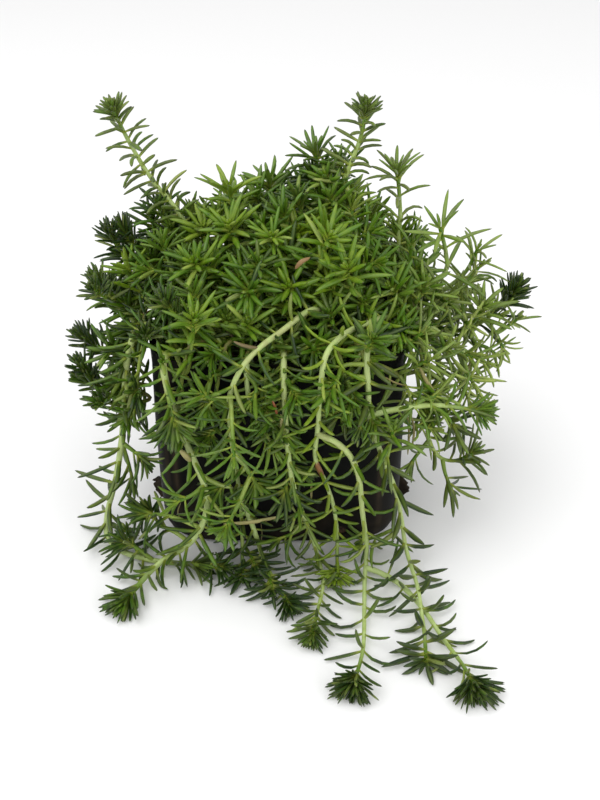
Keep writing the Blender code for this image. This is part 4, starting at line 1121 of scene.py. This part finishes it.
def kept_off(points, outside):
    """Leaf lines moved off what they would pass through: out from the bag's wall or, in the bag, in from
    it, and softly up from the ground or the soil."""
    share = bag_share(points)
    room = WALL_CLEARANCE / BAG_PROFILE[2][1]
    out = np.where(outside, np.maximum(share, 1 + room), np.minimum(share, 1 - 1.5 * room))
    scale = np.where(points[..., 2] < RIM + 1, out / np.maximum(share, 0.05), 1)
    x, y, z = points[..., 0] * scale, points[..., 1] * scale, points[..., 2]
    ground = np.where(outside, 0.0, soil_height(x, y)) + GROUND_CLEARANCE
    z = ground + np.logaddexp(0, (z - ground) / GROUND_SOFTNESS) * GROUND_SOFTNESS
    return np.stack([x, y, z], axis=-1)


def turned_clear(out, forward, place, lift):
    """Leaf directions turned off the wall that their stem lies against, flattened where it lies on the
    ground, the lower ones more, and lifted to the light, with whether each leaf has room to grow at all."""
    half = np.stack(bag_halves(place[:, 2]), axis=1)
    slope = np.sign(place[:, :2]) * np.abs(place[:, :2] / half) ** (BAG_SQUARENESS - 1) / half
    wall = unit(np.column_stack([slope, np.full(len(place), 1e-9)]))
    share = bag_share(place)
    against = (share > 1) & (share < AGAINST_WALL) & (place[:, 2] < RIM)
    inward = np.minimum((out * wall).sum(axis=1), 0) * against
    lying = (share > 1) & (place[:, 2] < LYING_HEIGHT)
    room = (inward > -0.4) & ~(lying & (out[:, 2] < -0.85))
    out = out - 1.1 * inward[:, None] * wall
    flattened = np.where(out[:, 2] < 0, 0.45, 0.6) * out[:, 2]
    out[:, 2] = np.where(lying, flattened, out[:, 2]) + lift
    return unit(out - (out * forward).sum(axis=1)[:, None] * forward), room


def leaf_feet(line, habit, draw):
    """Where the leaves of a stem sit, in a spiral: how far behind its tip, their numbers, their feet on its
    line, its direction there and their own way out. Those without room are left out, but for the bud's."""
    fine = points_at(line, np.arange(0, travelled(line)[-1], FOOT_STEP))
    ahead, side, up = frames(fine)
    total = FOOT_STEP * (len(fine) - 1)
    back = leaf_backs(total, habit)
    number = np.arange(len(back))
    spot = np.clip(np.round((total - back) / FOOT_STEP).astype(int), 0, len(fine) - 1)
    turn = number * GOLDEN_ANGLE + draw.normal(0, 0.14, len(back))
    out = np.cos(turn)[:, None] * side[spot] + np.sin(turn)[:, None] * up[spot]
    out, room = turned_clear(out, ahead[spot], fine[spot], habit["lift"])
    room |= back < BUD_REACH
    return (values[room] for values in (back, number, fine[spot], ahead[spot], out))


def leaf_bends(habit, behind, age, heart, draw):
    """Each leaf's pitch to its stem and its curl. Both go from a young leaf's to an old one's, the heart's
    leaves stand straighter, those of the tip flare, and an older leaf keeps to a least pitch."""
    count = len(behind)
    curl = grown_from(*habit["curls"], age) * draw.uniform(0.2, 1.6, count)
    curl = np.radians(curl + draw.normal(0, 7, count))
    curl = np.where(np.abs(curl) < LEAST_CURL, LEAST_CURL, curl)
    pitch = grown_from(*habit["pitches"], age) - 8 * heart + draw.normal(0, 4 + 9 * age, count)
    pitch = pitch + habit["flare"] * draw.uniform(0, 1, count) ** 0.8 * np.exp(-behind / FLARE_REACH)
    return np.maximum(np.radians(pitch) - curl / 2, LEAST_PITCH * age * (age > 0.5)), curl


def leaf_sizes(habit, behind, heart, size, draw):
    """Each leaf's length and half width: both grow with distance behind the tip. The heart's are short."""
    grown = 1 - np.exp(-behind / habit["ages"][0])
    length = grown_from(*habit["lengths"], grown) * (1 - (1 - habit["heart_size"]) * heart)
    length = length * draw.uniform(0.72, 1.14, len(behind)) * size
    width = habit["half_width"] * grown_from(0.66, 1, grown) * draw.uniform(0.85, 1.12, len(behind)) * size
    return length, width


def leaf_swell(taper):
    """Half width along a leaf as a share of its widest: even, or widest before its middle, or a mix."""
    station = np.array(LEAF_STATIONS)
    even = (0.5 + 0.5 * eased(station / 0.22)) * (1 - np.clip((station - 0.6) / 0.4, 0, 1) ** 2.6) ** 0.5
    fall = (1 - np.clip((station - 0.45) / 0.55, 0, 1) ** 2) ** 0.75
    return grown_from(even, (0.42 + 0.58 * eased(station / 0.45)) * fall, taper)


def leaf_paints(habit, behind, age, heart, foot, tone, pale, draw):
    """Each leaf's tone, paleness and dryness. A tip is darker in its shade, and so are leaves low outside
    the bag. A few leaves are paler than the rest, and a few far behind the tip are dry."""
    count = len(behind)
    tones = np.clip(tone + 0.12 * heart + draw.normal(0, 0.09, count) - 0.1 * age, 0, 1)
    tones = tones * (1 - habit["shade"] * np.exp(-behind / SHADE_REACH))
    height = (foot[:, 2] - LOW_HEIGHTS[0]) / (LOW_HEIGHTS[1] - LOW_HEIGHTS[0])
    low = (1 - eased(height)) * (bag_share(foot) > 1)
    tones = tones * (1 - LOW_SHADE * (1 - tone) * low)
    pales = np.clip(0.7 * pale + draw.normal(0, 0.06, count), 0, 1) * (pale > 0)
    pales = pales + 0.4 * (draw.uniform(0, 1, count) < PALE_SHARE)
    dry = (draw.uniform(0, 1, count) < DRY_SHARE * (behind > DRY_BEHIND)).astype(float)
    return {"tone": tones, "pale": pales * (1 - dry), "dry": dry}


def leaf_faces(count):
    """The faces of a number of leaves: rings of four-sided ones, a fan to each point, one over each root."""
    sides, rows = LEAF_SIDES, len(LEAF_STATIONS)
    side, last, tip = np.arange(sides), (rows - 1) * sides, rows * sides
    to_tip = np.stack([last + side, last + (side + 1) % sides, np.full(sides, tip)], axis=1)
    starts = (np.arange(count) * (tip + 1))[:, None, None]
    faces = (starts + grid_faces(rows, sides)).reshape(-1, 4).tolist()
    faces += (starts + to_tip).reshape(-1, 3).tolist()
    return faces + (starts[:, 0] + side[::-1]).tolist()


def leaves(line, habit, tone, pale, size, draw):
    """Every leaf of a stem as one array. A leaf's middle line is an arc: it starts out at its pitch to the
    stem, turns away from the stem's tip by its curl, and sways a little aside. An oval section is carried
    along it, flatter above than below, closed at its root and drawn to a blunt point."""
    back, number, foot, forward, out = leaf_feet(line, habit, draw)
    count = len(back)
    behind = np.maximum(back, 0)
    age = 1 - np.exp(-behind / habit["ages"][1])
    heart = np.clip((habit["heart"] - number) / habit["heart"], 0, 1)
    pitch, curl = leaf_bends(habit, behind, age, heart, draw)
    length, width = leaf_sizes(habit, behind, heart, size, draw)
    across = np.cross(forward, out)
    stations = np.array([*LEAF_STATIONS, 1.0])
    lean = pitch[:, None] + curl[:, None] * stations
    run = (length / curl)[:, None]
    rise = run * (np.sin(lean) - np.sin(pitch)[:, None])
    spread = run * (np.cos(pitch)[:, None] - np.cos(lean))
    sway = (draw.normal(0, 0.08, count) * length)[:, None] * stations**2
    middle = (
        foot[:, None] + rise[..., None] * forward[:, None] + spread[..., None] * out[:, None]
        + sway[..., None] * across[:, None]
    )
    middle = kept_off(middle, (bag_share(foot) > 1)[:, None])
    above = np.sin(lean)[..., None] * forward[:, None] - np.cos(lean)[..., None] * out[:, None]
    around = math.tau * (np.arange(LEAF_SIDES) + 0.5) / LEAF_SIDES
    thick = np.where(np.sin(around) > 0, *LEAF_THICKNESS) * np.sin(around)
    wide = leaf_swell(habit["taper"])[None, :, None] * width[:, None, None]
    section = (wide * np.cos(around))[..., None] * across[:, None, None]
    section = section + (wide * thick)[..., None] * above[:, :-1, None]
    rings = (middle[:, :-1, None] + section).reshape(count, -1, 3)
    points = np.concatenate([rings, middle[:, -1:]], axis=1)
    paints = leaf_paints(habit, behind, age, heart, foot, tone, pale, draw)
    marks = {
        "along": np.tile(np.append(np.repeat(LEAF_STATIONS, LEAF_SIDES), 1.0), count),
        "across": np.tile(np.append(np.tile(np.sin(around), len(LEAF_STATIONS)), 0.0), count),
        **{name: np.repeat(values, points.shape[1]) for name, values in paints.items()},
    }
    return points.reshape(-1, 3), leaf_faces(count), marks


def tube(line, radius, flatness=1.0):
    """A round or flattened section of given radii carried along a line, closed to a point at both ends."""
    ahead, side, up = frames(line)
    count = len(line)
    turn = turns(STEM_SIDES)[None, :, None]
    oval = np.cos(turn) * side[:, None] + flatness * np.sin(turn) * up[:, None]
    rings = line[:, None] + radius[:, None, None] * oval
    points = np.vstack([rings.reshape(-1, 3), line[:1] - ahead[:1] * 0.3, line[-1:] + ahead[-1:] * 0.6])
    first, last, ring = count * STEM_SIDES, count * STEM_SIDES + 1, (count - 1) * STEM_SIDES
    ends = fan(first, 0, STEM_SIDES, turned=True) + fan(last, ring, STEM_SIDES)
    return points, grid_faces(count, STEM_SIDES).tolist() + ends


def stem(line, radii, pale, draw):
    """A tapered tube along a line, slightly swollen where leaves sat, green near its tip and whitish behind
    it.
    Its oldest stretch turns brown. From the soil to just over the bag's rim it has painted shade there,
    darker green and browner."""
    count = len(line)
    radius = np.linspace(radii[0], radii[1], count) * (1 + 0.03 * np.sin(np.arange(count) * 0.9))
    radius[-1] = 0.5 * radius[-1]
    behind = travelled(line[::-1])[::-1]
    old = np.clip((behind - PALING_STRETCH) / TANNING_STRETCH, 0, 1) * draw.uniform(0.1, 0.5)
    # Painted shade: on stems that leave the bag, the stretch from the soil to just over the rim is made
    # greener, less pale and browner.
    share = bag_share(line)
    near, low = 1 - eased((share - 1.02) / 0.16), 1 - eased((line[:, 2] - RIM - 8) / 10)
    rim_shade = near * low * (share.max() > 1.2)
    marks = {
        "along": np.clip(behind / GREEN_STRETCH, 0, 1) * (1 - 0.85 * rim_shade),
        "across": np.zeros(count),
        "tone": np.zeros(count),
        "pale": pale * (0.5 + 0.5 * np.clip(behind / PALING_STRETCH, 0, 1)) * (1 - rim_shade),
        "dry": np.maximum(old, 0.7 * rim_shade),
    }
    for name, values in marks.items():
        marks[name] = np.concatenate([np.repeat(values, STEM_SIDES), values[[0, -1]]])
    return (*tube(line, radius), marks)


def foliage(name, parts):
    """Stems and leaves joined as one object, with its two skins."""
    points, faces, paints, marks = [], [], [], {key: [] for key in MARKS}
    start = 0
    for part_points, part_faces, part_marks, paint in parts:
        points.append(part_points)
        faces += [tuple(start + corner for corner in face) for face in part_faces]
        paints += [paint] * len(part_faces)
        for key in MARKS:
            marks[key].append(part_marks[key])
        start += len(part_points)
    marks = {key: np.concatenate(values) for key, values in marks.items()}
    made = surface(name, np.vstack(points), faces, [leaf_material, stem_material], marks, paints)
    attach(made, "root")
    return made


def shoot(line, radii, stem_pale, habit, tone, pale, draw, size=1.0):
    """One stem and its leaves, each with the number of its skin."""
    bare = stem(line, radii, stem_pale, draw)
    return [(*bare, STEM_SKIN), (*leaves(line, HABITS[habit], tone, pale, size, draw), LEAF_SKIN)]


def branch(line, habit, tone, pale, draw, size=1.0):
    """A slim shoot, whose stem is the paler the paler its leaves are."""
    return shoot(line, BRANCH_RADIUS, 0.3 + 0.9 * pale, habit, tone, pale, draw, size)


def leafy_stem(name, order):
    """A node's stems and leaves as one object, which stands for the node."""
    draw = np.random.default_rng(100 + order)
    trailing = name in TRAILING
    drawn = (str(draw.choice(["star", "star", "lax"])), draw.uniform(0.35, 0.75), 0.0)
    looks = LOOKS.get(name, [TRAILING_LOOK if trailing else drawn])
    radii = STOUT_RADII if name in STOUT else STEM_RADII
    parts = []
    for number, line in enumerate(line for owner, line in lines if owner == name):
        habit, tone, pale = looks[min(number, len(looks) - 1)]
        stem_pale = 0.95 if trailing else min(1, 0.35 + 1.6 * pale)
        parts += shoot(line, radii, stem_pale, habit, tone, pale, draw)
    made = foliage(f"{name}_foliage", parts)
    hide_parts(name)


def placed_group(name):
    """The branches of a group whose places are given, as one object."""
    draw = np.random.default_rng(len(name))
    parts = []
    for (habit, tone, pale, _), line in zip(PLACED_SHOOTS[name], placed_lines[name]):
        parts += branch(line, habit, tone, pale, draw)
    foliage(name, parts)


def branch_group(name, habits, tones, pales, size, seed):
    """A group of branches as one object, each with a drawn habit, tone and paleness."""
    draw = np.random.default_rng(seed)
    parts = []
    for line in branch_lines[name]:
        habit = str(draw.choice(habits))
        parts += branch(line, habit, draw.uniform(*tones), draw.uniform(*pales), draw, size)
    foliage(name, parts)


leaf_material = leaf_skin()
stem_material = stem_skin()
for order, name in enumerate(routes):
    leafy_stem(name, order)
for name in PLACED_SHOOTS:
    placed_group(name)
branch_group("cushion_branches", ["rosette", "star", "lax"], (0.3, 0.9), (0.0, 0.15), 0.97, 51)
branch_group("left_flank_branches", ["lax", "comb", "star"], (0.1, 0.4), (0.0, 0.06), 0.92, 52)
branch_group("right_flank_branches", ["wiry"], (0.34, 0.62), (0.6, 1.0), 0.95, 53)
branch_group("curtain_branches", ["long", "star", "wiry"], (0.3, 0.75), (0.05, 0.25), 0.95, 56)
branch_group("hanging_branches", ["long", "lax", "brush"], (0.25, 0.6), (0.05, 0.2), 0.95, 54)
branch_group("rim_shoots", ["star", "lax"], (0.3, 0.6), (0.0, 0.15), 0.95, 55)

# The dry bits: a few withered leaves caught among the green ones, a bud, papery strands at the rim, curly
# rootlets that come out of the bag near its foot, and a browned stretch of one hanging stem. Each strip has
# a half width, a flatness, a tone from brown to straw, and a redness.
DRY_BITS = [
    (1.0, 0.5, 0.3, 0.25, [(8, -40, 151), (10.5, -41, 154.7), (14, -39, 155.6)]),
    (1.1, 0.5, 0.9, 0.0, [(3.3, -66, 78.4), (2.5, -67, 85.8), (1.7, -67, 93.9)]),
    (1.2, 0.5, 0.95, 0.0, [(-26, -66, 29.7), (-12.6, -67, 31.8), (2, -66, 34.7)]),
    (1.5, 0.8, 0.8, 0.0, [(-44, -66, 74.5), (-41.5, -67, 71.9), (-39.2, -66, 67.1)]),
    (0.7, 0.5, 0.3, 0.7, [(-2.1, -66, 101.2), (-0.8, -67, 98.2), (0, -67, 93.4)]),
    (0.8, 0.6, 1.0, 0.0, [(95, -14, 96.3), (92, -16, 88.5), (88.6, -18, 75.9)]),
    (0.35, 1.0, 0.5, 0.0, [(-48, -50, 29), (-49.6, -51, 24), (-48.3, -52, 20.3), (-44, -53, 18.6)]),
    (0.35, 1.0, 0.4, 0.0, [(-27.6, -50, 13.2), (-29.6, -52, 11), (-28.7, -53, 7.3), (-26.3, -54, 3.5)]),
    (0.35, 1.0, 0.4, 0.0, [(-9.3, -50, 15.9), (-8.9, -51, 9.5), (-10, -52, 3)]),
    (0.35, 1.0, 0.4, 0.1, [(-41.3, -52, 82), (-38, -53, 80.5), (-38, -53, 75.4), (-39.8, -52, 70)]),
    (0.6, 0.7, 0.9, 0.0, [(13.3, -56, 49), (15.2, -57, 46.7), (15.3, -56, 34.7)]),
    (0.5, 0.5, 0.6, 0.1, [(58, -50, 97.6), (52.3, -54, 102), (47, -56, 106.5)]),
    (0.5, 0.5, 0.6, 0.1, [(59, -50, 95.5), (53.4, -54, 98.8), (47, -57, 100.8)]),
    (0.6, 0.4, 0.5, 0.0, [(58, -52, 84.8), (59.7, -54, 76), (60, -54, 62)]),
    (0.6, 0.4, 0.5, 0.0, [(60.3, -52, 83.7), (62, -54, 76), (61.7, -54, 65.7)]),
    (1.1, 0.5, 0.85, 0.0, [(63.8, -44, 103.3), (66.4, -48, 99.5), (71.2, -50, 92.2)]),
]
BROWNED = (52.0, 67.0)
BROWNED_RADIUS = 1.35
DRY_STEP = 0.8


def dry_strip(line, half_width, flatness, tone, redness):
    """A withered strip: a flattened section, widest in its middle, carried along a curve."""
    along = np.linspace(0, 1, len(line))
    points, faces = tube(line, half_width * (0.3 + 0.7 * np.sin(math.pi * along) ** 0.6), flatness)
    flat = np.zeros(len(points))
    marks = {"along": flat + 0.5, "across": flat, "tone": flat + tone, "pale": flat + redness}
    return points, faces, {**marks, "dry": flat + 1}, LEAF_SKIN


browned = next(line for owner, line in lines if owner == "front_middle")
browned = browned[(browned[:, 1] < -50) & (browned[:, 2] > BROWNED[0]) & (browned[:, 2] < BROWNED[1])]
dry_parts = [dry_strip(smooth_curve(bit[4], DRY_STEP), *bit[:4]) for bit in DRY_BITS]
foliage("dry_bits", [*dry_parts, dry_strip(browned, BROWNED_RADIUS, 1.0, 0.5, 0.5)])

# The stand: a plain pale floor under soft light, seen from the front and above.
FLOOR_HALF = 3.0
LOOK_AT = (0.010, -0.010, 0.062)
VIEW_DISTANCE = 0.5
VIEW_ELEVATION = math.radians(35)
VIEW_LENS = 45.0


def soft_light(name, place, size, power):
    """A square area light aimed at the plant."""
    lamp = bpy.data.lights.new(name, "AREA")
    lamp.size = size
    lamp.energy = power
    made = bpy.data.objects.new(name, lamp)
    made.location = place
    aim = np.array(LOOK_AT) - place
    made.rotation_euler = (math.atan2(math.hypot(aim[0], aim[1]), -aim[2]), 0, math.atan2(-aim[0], aim[1]))
    bpy.context.scene.collection.objects.link(made)


floor_material, _, floor_shader = finish("pale_floor")
floor_shader.inputs["Base Color"].default_value = (0.86, 0.86, 0.86, 1)
floor_shader.inputs["Roughness"].default_value = 0.9
corners = np.array([(-1, -1, 0), (1, -1, 0), (1, 1, 0), (-1, 1, 0)]) * FLOOR_HALF / MM
floor = surface("pale_floor", corners, [(0, 1, 2, 3)], [floor_material])

soft_light("key", np.array([-0.6, -0.5, 1.4]), 1.4, 14)
soft_light("fill", np.array([0.9, -0.9, 0.8]), 1.0, 5)
world = bpy.data.worlds.new("pale_room")
world.use_nodes = True
world.node_tree.nodes["Background"].inputs["Color"].default_value = (1, 1, 1, 1)
world.node_tree.nodes["Background"].inputs["Strength"].default_value = 0.9
bpy.context.scene.world = world
bpy.context.scene.view_settings.view_transform = "Standard"

camera = bpy.data.objects.new("camera", bpy.data.cameras.new("camera"))
camera.data.lens = VIEW_LENS
camera.location = (
    LOOK_AT[0],
    LOOK_AT[1] - VIEW_DISTANCE * math.cos(VIEW_ELEVATION),
    LOOK_AT[2] + VIEW_DISTANCE * math.sin(VIEW_ELEVATION),
)
camera.rotation_euler = (math.pi / 2 - VIEW_ELEVATION, 0, 0)
bpy.context.scene.collection.objects.link(camera)
bpy.context.scene.camera = camera
